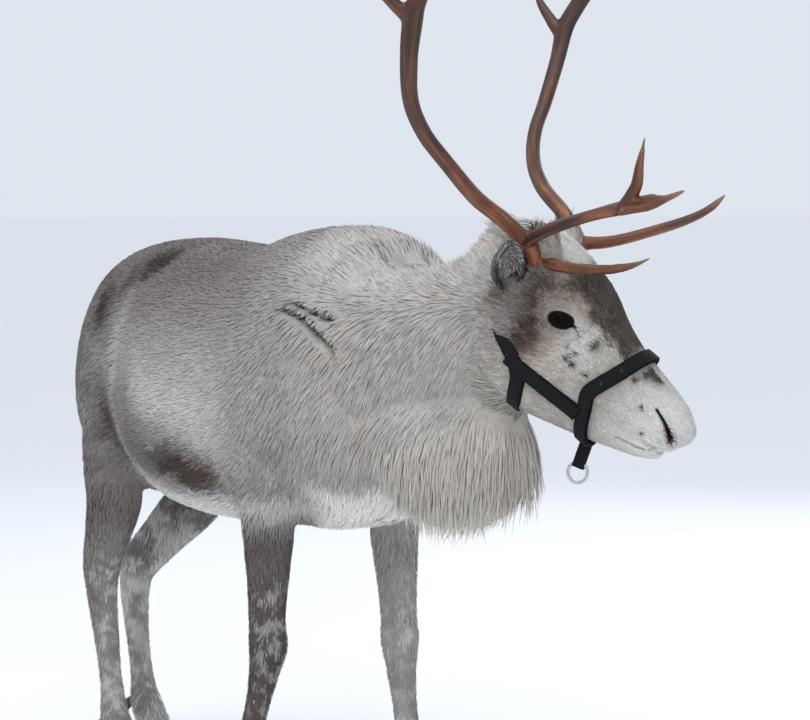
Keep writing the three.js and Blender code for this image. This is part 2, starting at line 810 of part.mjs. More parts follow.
function outerHit(target, from, way) {
  const far = from.clone().addScaledVector(way, 400);
  const ray = new THREE.Raycaster(far, way.clone().negate(), 0, 400);
  const hits = ray.intersectObject(target);
  return hits.length ? hits[0] : { point: from.clone().addScaledVector(way, 60), face: { normal: way } };
}

function strapPath(target, spots) {
  const points = [];
  const normals = [];
  for (const [inside, way] of spots) {
    const from = vec(onHead(...inside));
    const direction = headWay(...way).normalize();
    points.push(outerHit(target, from, direction).point.addScaledVector(direction, 1.5));
    normals.push(direction);
  }
  return { points, normals };
}

function tube(points, radius, { segments = 8, round = true } = {}) {
  const positions = [];
  const triangles = [];
  const count = points.length;
  const middle = points.reduce((sum, point) => sum.add(point), vec([0, 0, 0])).multiplyScalar(1 / count);
  for (let i = 0; i < count; i += 1) {
    const away = points[i].clone().sub(middle).normalize();
    const forward = points[(i + 1) % count].clone().sub(points[(i + count - 1) % count]).normalize();
    const across = forward.clone().cross(away).normalize();
    for (let k = 0; k < segments; k += 1) {
      const turn = (k / segments) * Math.PI * 2;
      const point = points[i].clone().addScaledVector(away, Math.cos(turn) * radius);
      positions.push(...point.addScaledVector(across, Math.sin(turn) * radius).toArray());
    }
  }
  for (let i = 0; i < count; i += 1) {
    for (let k = 0; k < segments; k += 1) {
      const a = i * segments + k;
      const b = i * segments + ((k + 1) % segments);
      const c = ((i + 1) % count) * segments + ((k + 1) % segments);
      const d = ((i + 1) % count) * segments + k;
      triangles.push(a, c, b, a, d, c);
    }
  }
  const solid = closed(positions, triangles);
  return solid.volume() < 0 ? closed(positions, triangles.reverse()) : solid;
}

const nodes = [];
function keep(name, slot, solid) {
  nodes.push([name, slot, largest(solid)]);
}

// The flesh as one body, and a slightly larger one that clears what lies on it
const legNames = Object.keys(LEGS);
const headBody = headMass(0);
const flesh = joined([trunk(0), neck(0), keel(0), headBody]);
const NECK_BASE = [[175, 0, 800], [1, 0.1, 0.12]];
const HEAD_BASE = [onHead(28, 0, -40), headWay(1, 0, 0.32).toArray()];
const headGrown = ahead(headMass(GAP).add(neck(GAP)), ...HEAD_BASE, -GAP);
const MANE_TOP = [[300, 10, 735], [-0.3, -0.1, 1]];

let trunkBody = joined([trunk(0), behind(neck(0).add(keel(0)), ...NECK_BASE, 0)]);
for (const name of legNames) {
  const { cut } = LEGS[name];
  trunkBody = trunkBody.add(behind(leg(name, 0), ...cut));
}
const lowLegs = {};
for (const name of legNames) {
  const { cut } = LEGS[name];
  trunkBody = trunkBody.subtract(ahead(leg(name, GAP), cut[0], cut[1], -GAP));
  lowLegs[name] = ahead(leg(name, 0), ...cut);
}
trunkBody = behind(trunkBody, ...NECK_BASE);
keep('trunk_front', 'coat', ahead(trunkBody, [-300, 0, 780], [1, 0, 0]));
keep('trunk_rear', 'coat', behind(trunkBody, [-300, 0, 780], [1, 0, 0]));

// Legs, parted at the knee or hock, with their claws
for (const name of legNames) {
  const knee = LEGS[name].keys[6][0];
  const claws = [];
  for (const inner of [-1, 1]) {
    const own = [claw(name, inner), claw(name, inner, GAP)];
    claws.push([inner, ...own, dewClaw(name, inner), dewClaw(name, inner, GAP)]);
  }
  let low = lowLegs[name];
  for (const [, , clear, , dewClear] of claws) low = low.subtract(clear).subtract(dewClear);
  const kneeWay = name.startsWith('hind') ? [0.25, 0, 1] : [-0.1, 0, 1];
  const kneeAt = [knee[0], knee[1], knee[2] - 22];
  const [upper, lower] = name.startsWith('hind') ? ['thigh', 'cannon'] : ['forearm', 'cannon'];
  keep(`${upper}_${name}`, 'coat', ahead(low, kneeAt, kneeWay));
  keep(`${lower}_${name}`, 'coat', behind(low, kneeAt, kneeWay));
  for (const [inner, whole, , dew] of claws) {
    const label = inner > 0 ? 'right_claw' : 'left_claw';
    keep(`${label}_${name}`, 'hoof', whole);
    keep(`${inner > 0 ? 'right_dewclaw' : 'left_dewclaw'}_${name}`, 'hoof', dew);
  }
}

// Tail: short and tufted, lying against the rump
keep(
  'tail',
  'mane',
  loft(
    [
      [[-770, 0, 900], 26, 18, 16],
      [[-812, 0, 872], 34, 20, 20],
      [[-838, 0, 820], 34, 18, 18],
      [[-842, 0, 765], 20, 12, 12],
      [[-836, 0, 728], 5, 4, 4],
    ],
    { rings: 8, segments: 10 },
  ).subtract(trunk(GAP)),
);

// Neck and mane
const front = ahead(joined([neck(0), keel(0), trunk(0)]), ...NECK_BASE);
const beforeHead = behind(front, ...HEAD_BASE);
keep('neck', 'coat', ahead(beforeHead, ...MANE_TOP));
let mane = behind(front, ...MANE_TOP).add(ahead(keel(0), ...HEAD_BASE));
for (const lock of maneLocks()) mane = mane.add(lock);
keep('throat_mane', 'mane', ahead(mane, ...NECK_BASE).subtract(headGrown));

// Head with its features
let head = ahead(headBody.add(neck(0)), ...HEAD_BASE);
for (const hand of [-1, 1]) {
  head = head.subtract(opening(hand)).add(lids(hand));
  head = head.subtract(ball(onHead(EYE_AT[0], hand * EYE_AT[1], EYE_AT[2]), [EYE_RADIUS, EYE_RADIUS, EYE_RADIUS],
    HEAD_WAYS, { rings: 8, segments: 12, grow: GAP }));
  head = head.subtract(ear(hand, GAP));
}
for (const cut of faceCuts()) head = head.subtract(cut);
for (const side of ['right', 'left']) head = head.subtract(tine(side, 'beam', { rings: 26, segments: 7, grow: GAP }));
keep('head', 'coat', head);
for (const [side, hand] of [['right', -1], ['left', 1]]) {
  keep(`eye_${side}`, 'eye', ball(onHead(EYE_AT[0], hand * EYE_AT[1], EYE_AT[2]),
    [EYE_RADIUS, EYE_RADIUS, EYE_RADIUS], HEAD_WAYS, { rings: 8, segments: 12 }));
  keep(`ear_${side}`, 'coat', ear(hand));
}

// Antlers, parted at their main forks
for (const side of ['right', 'left']) {
  const { hand, beam } = ANTLERS[side];
  const whole = tine(side, 'beam', { rings: 26, segments: 7 });
  const clear = tine(side, 'beam', { rings: 26, segments: 7, grow: GAP });
  const fork = antlerPlace(hand, beam[8][0]);
  const forkWay = vec(antlerPlace(hand, beam[9][0])).sub(vec(antlerPlace(hand, beam[7][0]))).toArray();
  const bez = tine(side, 'bez', { rings: 9, segments: 8 });
  const bezClear = tine(side, 'bez', { rings: 9, segments: 8, grow: GAP });
  keep(`antler_beam_${side}`, 'antler', behind(whole, fork, forkWay));
  keep(`antler_crown_${side}`, 'antler', ahead(whole, fork, forkWay).add(tine(side, 'crown_tine', { rings: 5, segments: 8 })));
  const bezWhole = side === 'right' ? bez.add(tine(side, 'bez_tine', { rings: 5, segments: 8 })) : bez;
  keep(`antler_bez_${side}`, 'antler', bezWhole.subtract(clear).subtract(headMass(GAP)));
  if (side === 'right') {
    const brow = tine(side, 'brow', { rings: 9, segments: 8 });
    keep(`antler_brow_${side}`, 'antler', brow.subtract(clear).subtract(bezClear).subtract(headMass(GAP)));
  }
  keep(`antler_back_tine_${side}`, 'antler', tine(side, 'back_tine', { rings: 5, segments: 8 }).subtract(clear));
}

// Halter of flat webbing, with its ring below the chin
const surface = new THREE.Mesh(meshOf(headBody.add(neck(0))), new THREE.MeshBasicMaterial({ side: THREE.DoubleSide }));
surface.updateMatrixWorld();
const clearance = joined([headMass(GAP), neck(GAP), keel(GAP)]);
const noseSpots = [];
for (let i = 0; i < 20; i += 1) {
  const turn = (i / 20) * Math.PI * 2;
  const s = Math.sin(turn);
  const x = s > -0.4 ? 243 + (30 * (s + 0.4)) / 1.4 : 243 + (34 * (-0.4 - s)) / 0.6;
  noseSpots.push([[x, 0, s < 0 ? mix(-40, -60, -s) : -40], [0, Math.cos(turn), s]]);
}
const nosePath = strapPath(surface, noseSpots);
const noseband = band(nosePath.points, nosePath.normals, STRAP_WIDTH, STRAP_THICK, 4, true).subtract(clearance);
keep('halter_noseband', 'webbing', noseband);
const noseClear = band(nosePath.points, nosePath.normals, STRAP_WIDTH + 2 * GAP, STRAP_THICK + GAP, 6, true);

const crownSpots = [];
const CROWN_PATH = [[156, -142, 60], [146, -122, 80], [126, -100, 90], [98, -86, 90], [58, -68, 90], [24, -30, 88], [4, 20, 84], [-4, 62, 60]];
const half = [];
for (let i = 0; i <= 11; i += 1) {
  half.push(spline(CROWN_PATH, i / 12));
}
const crownHalf = (hand) => half.map(([x, z, out]) => {
  const tilt = THREE.MathUtils.smoothstep(z, 10, 90) + THREE.MathUtils.smoothstep(-z, 110, 170) * -1;
  return [[x, 0, z - tilt * 30], [0, hand * mix(1, 0.55, Math.abs(tilt)), tilt * 0.8]];
});
crownSpots.push(...crownHalf(-1), [[-4, 0, 20], [0, 0, 1]], ...crownHalf(1).reverse(), [[152, 0, -100], [0, 0, -1]]);
const crownPath = strapPath(surface, crownSpots);
const crownBand = band(crownPath.points, crownPath.normals, STRAP_WIDTH, STRAP_THICK, 4, true);
let crownStrap = crownBand.subtract(clearance);
for (const hand of [-1, 1]) crownStrap = crownStrap.subtract(ear(hand, GAP));
const crownClear = band(crownPath.points, crownPath.normals, STRAP_WIDTH + 6 * GAP, STRAP_THICK + 2 * GAP, 6, true);
keep('halter_headpiece', 'webbing', crownStrap);

for (const [side, hand] of [['right', -1], ['left', 1]]) {
  const spots = [];
  for (let i = 0; i <= 8; i += 1) {
    const t = i / 8;
    spots.push([[mix(112, 246, t), 0, mix(-92, -98, t)], [0, hand, -0.12]]);
  }
  const path = strapPath(surface, spots);
  const cheek = band(path.points, path.normals, STRAP_WIDTH, STRAP_THICK, 4, false);
  keep(`halter_cheek_${side}`, 'webbing', cheek.subtract(clearance).subtract(noseClear).subtract(crownClear));
}

const ringCentre = vec(onHead(298, 0, -187));
const ringPoints = [];
for (let i = 0; i < 18; i += 1) {
  const turn = (i / 18) * Math.PI * 2;
  const point = ringCentre.clone().addScaledVector(LEVEL, Math.cos(turn) * RING_RADIUS);
  ringPoints.push(point.add(vec([0, 0, Math.sin(turn) * RING_RADIUS])));
}
keep('halter_ring', 'metal', tube(ringPoints, RING_WIRE, { segments: 5 }));
const tabTop = outerHit(surface, vec(onHead(277, 0, -60)), headWay(0, 0, -1)).point;
const tabLow = ringCentre.clone().add(vec([0, 0, RING_RADIUS - 8]));
const tab = loft(
  [
    [tabTop.toArray(), 6, 11, 11],
    [along(tabTop.toArray(), tabLow.toArray(), 0.5), 5, 11, 11],
    [tabLow.toArray(), 6, 11, 11],
  ],
  { rings: 2, segments: 10, side: LEVEL.toArray(), power: 3 },
);
keep('halter_tab', 'webbing', tab.subtract(clearance).subtract(noseClear).subtract(tube(ringPoints, RING_WIRE + GAP, { segments: 5 })));

// Finish: one group with its origin at the middle of the footprint
const group = new THREE.Group();
group.name = 'reindeer';
const bounds = new THREE.Box3();
const made = nodes.map(([name, slot, solid]) => {
  const geometry = meshOf(solid);
  geometry.computeBoundingBox();
  bounds.union(geometry.boundingBox);
  return [name, slot, geometry];
});
const centre = bounds.getCenter(new THREE.Vector3());
for (const [name, slot, geometry] of made) {
  geometry.translate(-centre.x, -centre.y, -bounds.min.z);
  const flat = mergeVertices(geometry, 1e-4);
  flat.computeVertexNormals();
  const mesh = new THREE.Mesh(flat, SLOTS[slot].clone());
  mesh.material.name = slot;
  mesh.name = name;
  group.add(mesh);
}

export default group;
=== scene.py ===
import math

import bmesh
import bpy
import numpy as np
from mathutils import Matrix, Vector
from mathutils.bvhtree import BVHTree


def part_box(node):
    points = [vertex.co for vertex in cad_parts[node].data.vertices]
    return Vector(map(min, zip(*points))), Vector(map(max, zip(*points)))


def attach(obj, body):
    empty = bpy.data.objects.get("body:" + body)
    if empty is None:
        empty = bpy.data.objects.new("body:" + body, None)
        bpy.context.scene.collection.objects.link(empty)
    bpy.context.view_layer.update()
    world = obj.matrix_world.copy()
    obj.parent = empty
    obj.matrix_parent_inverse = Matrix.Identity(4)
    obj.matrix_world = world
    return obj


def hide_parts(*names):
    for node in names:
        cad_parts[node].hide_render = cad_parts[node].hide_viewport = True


# Reindeer in a still walking pose: skin, coat, antlers, hooves, eyes and halter round the solids.
# Places are worked out in millimetres from a point under the withers, and turned into metres at the end.
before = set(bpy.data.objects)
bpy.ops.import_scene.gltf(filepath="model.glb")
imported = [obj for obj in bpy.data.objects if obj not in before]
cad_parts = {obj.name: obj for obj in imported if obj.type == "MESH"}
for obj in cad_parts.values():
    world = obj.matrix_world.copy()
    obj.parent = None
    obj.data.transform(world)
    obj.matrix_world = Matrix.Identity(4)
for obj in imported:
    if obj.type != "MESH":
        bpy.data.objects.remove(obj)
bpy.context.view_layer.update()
chance = np.random.default_rng(7)

# Sizes
HEAD_LENGTH = 395.0
HEAD_YAW = math.radians(35)
HEAD_PITCH = math.radians(39)
NOSE_TIP = np.array([676.0, 198.0, 739.0])
EYE_RADIUS = 22.0
EYE_AT = (142.0, 65.0, -1.0)
LID_WIDE, LID_ABOVE, LID_BELOW = 20.2, 13.4, 12.2
EAR_LENGTH = 125.0
CLAW_LENGTH = 92.0
CLAW_WIDTH = 42.0
CLAW_HEIGHT = 50.0
STRAP_WIDTH = 22.0
RING_RADIUS = 16.0
RING_WIRE = 2.6
RING_PLACE = (298, 0, -187)
BODY_GRAIN = 8.5
HEAD_GRAIN = 3.45


def unit(v):
    v = np.asarray(v, float)
    return v / np.maximum(np.linalg.norm(v, axis=-1, keepdims=True), 1e-9)


FACE = np.array([
    math.cos(HEAD_YAW) * math.cos(HEAD_PITCH),
    math.sin(HEAD_YAW) * math.cos(HEAD_PITCH),
    -math.sin(HEAD_PITCH),
])
LEFT = np.array([-math.sin(HEAD_YAW), math.cos(HEAD_YAW), 0.0])
CROWN = np.cross(FACE, LEFT)
LEVEL = np.array([math.cos(HEAD_YAW), math.sin(HEAD_YAW), 0.0])
UP = np.array([0.0, 0.0, 1.0])
SKULL_BACK = NOSE_TIP - FACE * HEAD_LENGTH
HEAD_AXES = np.array([FACE, LEFT, CROWN])


def on_head(x, y, z):
    return SKULL_BACK + FACE * x + LEFT * y + CROWN * z


def head_way(x, y, z):
    return FACE * x + LEFT * y + CROWN * z


def head_places(points):
    return (points - SKULL_BACK) @ HEAD_AXES.T


ring_low, ring_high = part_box("halter_ring")
SHIFT = np.array((ring_low + ring_high) / 2) * 1000 - on_head(*RING_PLACE)


def to_row(points):
    return (np.asarray(points, float) + SHIFT) * 0.001


def from_row(points):
    return np.asarray(points, float) * 1000 - SHIFT


# Curves, lofts and smooth fields
def spline(values, t):
    values = np.asarray(values, float)
    t = np.asarray(t, float)
    last = len(values) - 1
    place = np.clip(t, 0, 1) * last
    i = np.minimum(place.astype(int), last - 1)
    f = place - i
    if values.ndim > 1:
        f = f[..., None]
    a, b, c, d = values[np.maximum(i - 1, 0)], values[i], values[i + 1], values[np.minimum(i + 2, last)]
    return 0.5 * (2 * b + (c - a) * f + (2 * a - 5 * b + 4 * c - d) * f**2 + (3 * b - a - 3 * c + d) * f**3)


def smooth(low, high, value):
    t = np.clip((np.asarray(value, float) - low) / (high - low), 0, 1)
    return t * t * (3 - 2 * t)


def bump_at(points, centre, reach):
    far = ((points - np.asarray(centre, float)) / np.asarray(reach, float)) ** 2
    return np.exp(-far.sum(-1) / 2)


def lattice_noise(points, size, seed=0):
    """Smooth noise from -1 to 1 over places, with lumps of the given size."""
    p = points / size + seed * 17.31
    cell = np.floor(p).astype(np.int64)
    f = p - cell
    f = f * f * (3 - 2 * f)
    total = 0
    for corner in range(8):
        d = np.array([corner & 1, corner >> 1 & 1, corner >> 2 & 1])
        n = (cell + d) @ np.array([73856093, 19349663, 83492791])
        n = (n ^ (n >> 13)) * 1274126177 & 0x7FFFFFFF
        n = (n ^ (n >> 15)) * 668265263 & 0x7FFFFFFF
        share = np.prod(np.where(d == 1, f, 1 - f), axis=-1)
        total = total + share * ((n & 0xFFFF) / 32768.0 - 1)
    return total


def clouds(points, size, seed=0, octaves=3):
    total, weight = 0, 0
    for k in range(octaves):
        total = total + lattice_noise(points, size / 2**k, seed + k) / 2**k
        weight += 1 / 2**k
    return total / weight


def loft(keys, rings=16, segments=16, side=(0, 1, 0), grow=0.0, power=2.0, tip=0.5, swell=None):
    """Closed tube through keys of [place, half width, reach up, reach down, side].

    grow is one number, or one for each key.
    """
    places = [k[0] for k in keys]
    sizes = [k[1:4] for k in keys]
    sides = [k[4] if len(k) > 4 else side for k in keys]
    t = np.linspace(0, 1, rings + 1)
    step = 0.125 / rings
    at = spline(places, t)
    forward = unit(spline(places, t + step) - spline(places, t - step))
    across = spline(sides, t)
    across = unit(across - forward * (across * forward).sum(-1, keepdims=True))
    up = np.cross(forward, across)
    wider = spline(grow, t)[:, None] if np.ndim(grow) else grow
    size = np.maximum(np.maximum(spline(sizes, t), 0.6) + wider, 0.8)
    turn = np.arange(segments) / segments * math.tau
    c, s = np.cos(turn), np.sin(turn)
    c, s = np.sign(c) * np.abs(c) ** (2 / power), np.sign(s) * np.abs(s) ** (2 / power)
    rise = np.where(s > 0, size[:, 1:2], size[:, 2:3])
    points = (at[:, None] + across[:, None] * (c * size[:, :1])[..., None]
              + up[:, None] * (s * rise)[..., None])
    if swell:
        points = points + unit(points - at[:, None]) * swell(points)[..., None]
    faces = []
    for i in range(rings):
        for k in range(segments):
            a, b = i * segments + k, i * segments + (k + 1) % segments
            faces.append((a, b, b + segments, a + segments))
    ends = []
    for which, row in ((0, 0), (1, rings)):
        reach = size[row].min() * tip * (1 if which else -1)
        ends.append(at[row] + forward[row] * reach)
        centre = (rings + 1) * segments + which
        for k in range(segments):
            a, b = row * segments + k, row * segments + (k + 1) % segments
            faces.append((centre, a, b) if which else (centre, b, a))
    return np.vstack([points.reshape(-1, 3), ends]), faces


def ball(at, radii, ways, rings=16, segments=24, grow=0.0):
    lift = np.linspace(-math.pi / 2, math.pi / 2, rings + 1)[1:-1]
    turn = np.arange(segments) / segments * math.tau
    x = np.cos(lift)[:, None] * np.cos(turn)
    y = np.cos(lift)[:, None] * np.sin(turn)
    z = np.repeat(np.sin(lift)[:, None], segments, 1)
    radii = np.asarray(radii, float) + grow
    ways = np.asarray(ways, float)
    shell = np.stack([x, y, z], -1).reshape(-1, 3)
    shell = np.vstack([shell, [[0, 0, -1], [0, 0, 1]]]) * radii
    faces = []
    rows = rings - 1
    for k in range(segments):
        n = (k + 1) % segments
        for i in range(rows - 1):
            faces.append((i * segments + k, i * segments + n, (i + 1) * segments + n, (i + 1) * segments + k))
        faces.append((rows * segments, n, k))
        faces.append((rows * segments + 1, (rows - 1) * segments + k, (rows - 1) * segments + n))
    return np.asarray(at, float) + shell @ ways, faces


def joined(parts):
    points, faces, first = [], [], 0
    for own, own_faces in parts:
        points.append(own)
        faces += [tuple(v + first for v in face) for face in own_faces]
        first += len(own)
    return np.vstack(points), faces


# Meshes
def new_mesh(name, points, faces, material=None, row=True):
    """Object from places in millimetres and a list or an array of faces."""
    mesh = bpy.data.meshes.new(name)
    points = to_row(points) if row else np.asarray(points, float)
    if isinstance(faces, np.ndarray):
        sides = faces.shape[1]
        mesh.vertices.add(len(points))
        mesh.vertices.foreach_set("co", points.astype(np.float32).ravel())
        mesh.loops.add(faces.size)
        mesh.loops.foreach_set("vertex_index", faces.astype(np.int32).ravel())
        mesh.polygons.add(len(faces))
        mesh.polygons.foreach_set("loop_start", np.arange(0, faces.size, sides, dtype=np.int32))
        mesh.update(calc_edges=True)
    else:
        mesh.from_pydata(points.tolist(), [], faces)
        mesh.update()
    mesh.polygons.foreach_set("use_smooth", np.ones(len(mesh.polygons), bool))
    piece = bpy.data.objects.new(name, mesh)
    bpy.context.scene.collection.objects.link(piece)
    if material:
        mesh.materials.append(material)
    return piece


def made(piece):
    """Applies the modifiers of a piece to its mesh."""
    graph = bpy.context.evaluated_depsgraph_get()
    mesh = bpy.data.meshes.new_from_object(piece.evaluated_get(graph))
    old = piece.data
    piece.modifiers.clear()
    piece.data = mesh
    bpy.data.meshes.remove(old)
    mesh.polygons.foreach_set("use_smooth", np.ones(len(mesh.polygons), bool))
    return piece


def fused(parts, grain):
    """One closed surface of square faces round all parts, in millimetres."""
    piece = new_mesh("fusing", *joined(parts))
    remesh = piece.modifiers.new("even faces", "REMESH")
    remesh.mode = "VOXEL"
    remesh.voxel_size = grain * 0.001
    made(piece)
    mesh = piece.data
    points = np.empty(len(mesh.vertices) * 3)
    mesh.vertices.foreach_get("co", points)
    faces = np.empty(len(mesh.loops), int)
    mesh.loops.foreach_get("vertex_index", faces)
    bpy.data.objects.remove(piece)
    bpy.data.meshes.remove(mesh)
    return from_row(points.reshape(-1, 3)), faces.reshape(-1, 4)


def relaxed(points, faces, times, strength=0.5):
    edges = np.vstack([faces[:, [k, (k + 1) % faces.shape[1]]] for k in range(faces.shape[1])])
    a, b = np.concatenate([edges[:, 0], edges[:, 1]]), np.concatenate([edges[:, 1], edges[:, 0]])
    count = np.maximum(np.bincount(a, minlength=len(points)), 1)[:, None]
    for k in range(times):
        mean = np.stack([np.bincount(a, points[b, i], len(points)) for i in range(3)], -1) / count
        points = points + (mean - points) * (
            strength if k % 2 == 0 else -strength * 1.04 if times > 6 else strength)
    return points


def normals_of(points, faces):
    p = points[faces]
    flat = np.cross(p[:, 2] - p[:, 0], p[:, 3 % faces.shape[1]] - p[:, 1])
    total = np.stack([
        sum(np.bincount(faces[:, k], flat[:, i], len(points)) for k in range(faces.shape[1]))
        for i in range(3)
    ], -1)
    return unit(total)


# Form of the body
TRUNK = [
    (-800, 850, 700, 42), (-778, 915, 630, 95), (-720, 974, 575, 142), (-630, 1009, 545, 176),
    (-520, 1019, 524, 206),
    (-400, 1012, 512, 234), (-275, 1005, 508, 245), (-150, 1017, 512, 238), (-60, 1038, 516, 218),
    (20, 1043, 522, 202),
    (95, 1022, 536, 184), (165, 985, 560, 156), (225, 930, 620, 105), (250, 870, 690, 50),
]
SWELLINGS = [
    (-20, 770, 85, 150, 20), (-130, 720, 45, 120, -9), (-655, 790, 95, 130, 30), (-640, 640, 80, 80, 26),
    (-515, 620, 38, 90, -16), (-330, 600, 120, 90, 8), (120, 850, 45, 110, -12),
]
LEGS = {
    "front_right": dict(keys=[
        ([10, -118, 800], 78, 95, 110), ([-20, -128, 690], 76, 95, 105), ([-50, -134, 590], 60, 74, 80),
        ([-62, -134, 520], 48, 55, 56), ([-76, -128, 440], 39, 44, 42), ([-90, -121, 365], 34, 36, 38),
        ([-95, -117, 318], 35, 39, 36), ([-108, -117, 268], 27, 28, 31), ([-132, -119, 200], 22, 22, 25),
        ([-158, -120, 135], 25, 24, 28), ([-165, -120, 100], 30, 31, 33), ([-146, -120, 66], 31, 33, 33),
        ([-128, -120, 40], 36, 36, 30)], foot=(-118, -120), turn=-6),
    "front_left": dict(keys=[
        ([15, 116, 800], 78, 95, 110), ([-30, 124, 690], 76, 95, 105), ([-62, 126, 590], 60, 74, 80),
        ([-66, 122, 520], 48, 55, 56), ([-52, 117, 440], 39, 44, 42), ([-36, 112, 365], 34, 36, 38),
        ([-30, 110, 318], 35, 39, 36), ([-22, 109, 268], 27, 28, 31), ([-8, 108, 200], 22, 22, 25),
        ([4, 108, 135], 25, 24, 28), ([12, 108, 100], 30, 31, 33), ([34, 108, 66], 31, 33, 33),
        ([52, 108, 40], 36, 36, 30)], foot=(62, 108), turn=8),
    "hind_right": dict(keys=[
        ([-590, -98, 830], 104, 150, 150), ([-615, -112, 730], 92, 135, 125), ([-640, -124, 625], 68, 96, 90),
        ([-652, -126, 530], 52, 78, 72), ([-700, -114, 455], 43, 56, 56), ([-744, -104, 388], 37, 46, 48),
        ([-750, -101, 335], 31, 34, 38), ([-738, -100, 265], 26, 27, 29), ([-720, -100, 185], 23, 23, 26),
        ([-708, -100, 128], 26, 25, 29), ([-700, -100, 98], 30, 31, 33), ([-680, -100, 66], 31, 33, 33),
        ([-662, -100, 40], 36, 36, 30)], foot=(-652, -100), turn=-7),
    "hind_left": dict(keys=[
        ([-600, 98, 830], 104, 150, 150), ([-645, 112, 725], 92, 130, 125), ([-695, 122, 615], 66, 96, 90),
        ([-760, 116, 515], 50, 74, 70), ([-850, 94, 430], 42, 54, 54), ([-925, 74, 360], 36, 45, 47),
        ([-940, 69, 308], 31, 34, 38), ([-930, 66, 245], 26, 27, 29), ([-912, 64, 175], 23, 23, 26),
        ([-898, 63, 125], 26, 25, 29), ([-888, 62, 97], 30, 31, 33), ([-866, 62, 66], 31, 33, 33),
        ([-848, 62, 40], 36, 36, 30)], foot=(-838, 62), turn=6),
}
NECK = [
    ([60, 0, 800], 165, 200, 190, [0, 1, 0]), ([150, 0, 815], 158, 182, 185, [0, 1, 0]),
    ([240, 3, 838], 140, 155, 165, [-0.15, 1, 0]), ([320, 12, 868], 122, 128, 140, [-0.35, 1, 0]),
    ([390, 34, 905], 104, 106, 118, [-0.5, 0.85, 0]), ([438, 62, 928], 84, 88, 100, LEFT),
    ([478, 90, 915], 58, 60, 74, LEFT),
]
KEEL = [
    ([140, -2, 720], 146, 150, 130, [0, 1, 0]), ([210, 0, 716], 144, 165, 142, [0, 1, 0]),
    ([282, 8, 716], 132, 165, 146, [-0.3, 1, 0]), ([342, 24, 730], 108, 150, 146, [-0.5, 0.85, 0]),
    ([392, 46, 752], 70, 110, 130, LEFT),
]
TAIL = [
    ([-770, 0, 900], 26, 18, 16), ([-812, 0, 872], 34, 20, 20), ([-838, 0, 820], 34, 18, 18),
    ([-842, 0, 765], 20, 12, 12), ([-836, 0, 728], 5, 4, 4),
]
SKULL = [
    (-30, 54, -110, 62), (15, 70, -132, 76), (60, 80, -142, 83), (105, 83, -150, 85), (148, 73, -152, 82),
    (195, 55, -142, 70), (245, 38, -124, 58), (300, 25, -104, 51), (345, 17, -90, 49), (376, 8, -74, 44),
    (396, -6, -56, 31), (404, -20, -44, 14),
]
JAW = [
    (60, -60, -158, 60), (110, -70, -170, 66), (160, -70, -170, 61), (215, -70, -155, 51),
    (270, -66, -137, 46),
    (320, -64, -118, 45), (352, -64, -105, 41), (370, -66, -95, 33), (382, -70, -86, 18),
]


def trunk_swell(points):
    side = np.clip((np.abs(points[..., 1]) - 20) / 90, 0, 1)
    total = 0
    for x, z, long, high, rise in SWELLINGS:
        total = total + rise * np.exp(
            -(((points[..., 0] - x) / long) ** 2 + ((points[..., 2] - z) / high) ** 2) / 2)
    return side * total


def trunk(grow):
    keys = []
    for x, top, bottom, half in TRUNK:
        middle = bottom + (top - bottom) * 0.47
        keys.append(([x, 0, middle], half, top - middle, middle - bottom))
    return loft(keys, rings=110, segments=110, power=2.2, grow=grow, swell=trunk_swell)


def head_rings(table, **options):
    keys = []
    for x, top, bottom, half in table:
        middle = (top + bottom) / 2
        keys.append((on_head(x, 0, middle), half, top - middle, middle - bottom))
    return loft(keys, side=LEFT, **options)


def head_parts(grow):
    parts = [
        head_rings(SKULL, rings=80, segments=64, power=2.35, grow=grow),
        head_rings(JAW, rings=60, segments=48, power=2.3, grow=grow),
        loft([
            (on_head(8, 0, 44), 30, 26, 20), (on_head(56, 0, 66), 44, 24, 22),
            (on_head(105, 0, 70), 36, 18, 20), (on_head(142, 0, 60), 16, 12, 10),
        ], rings=20, segments=32, side=LEFT, grow=grow),
    ]
    for hand in (-1, 1):
        parts.append(ball(on_head(134, hand * 60, 12), [40, 23, 27], HEAD_AXES, grow=grow))
        parts.append(ball(on_head(366, hand * 24, -32), [32, 26, 34], HEAD_AXES, grow=grow))
        parts.append(loft([
            (on_head(76, hand * 36, 42), 26, 26, 26), (on_head(56, hand * 47, 62), 23, 23, 23),
            (on_head(44, hand * 54, 78), 20, 20, 20),
        ], rings=12, segments=24, side=FACE, grow=grow))
    return parts


LEG_DEPTH = [-10, -10, -9, -7, -5, -4, -3, -2.5, -2.5, -3, -3.5, -4, -5]
body_parts = [
    trunk(-9),
    loft(NECK, rings=60, segments=80, grow=[-10, -12, -15, -16, -14, -11, -8], power=2.1),
    loft(KEEL, rings=40, segments=64, grow=-26, power=2.2),
    ball([392, 40, 805], [58, 74, 64], [LEVEL, LEFT, UP]),
    loft(TAIL, rings=24, segments=24, grow=-6),
    *head_parts(-6),
]
for leg in LEGS.values():
    body_parts.append(loft(leg["keys"], rings=80, segments=36, grow=LEG_DEPTH))
HEAD_BASE = on_head(28, 0, -40)
HEAD_BASE_WAY = unit(head_way(1, 0, 0.32))
head_shell = head_parts(-3) + [loft(NECK[3:], rings=40, segments=64, grow=[-30, -22, -9, -8], power=2.1)]


def nearest_on(path, points):
    """Distance and share along the path of each point's nearest place on it."""
    best = np.full(len(points), 1e9)
    share = np.zeros(len(points))
    total = len(path) - 1
    for i in range(total):
        a, b = path[i], path[i + 1]
        t = np.clip(((points - a) @ (b - a)) / max((b - a) @ (b - a), 1e-9), 0, 1)
        far = np.linalg.norm(points - a - t[:, None] * (b - a), axis=1)
        closer = far < best
        best[closer] = far[closer]
        share[closer] = (i + t[closer]) / total
    return best, share


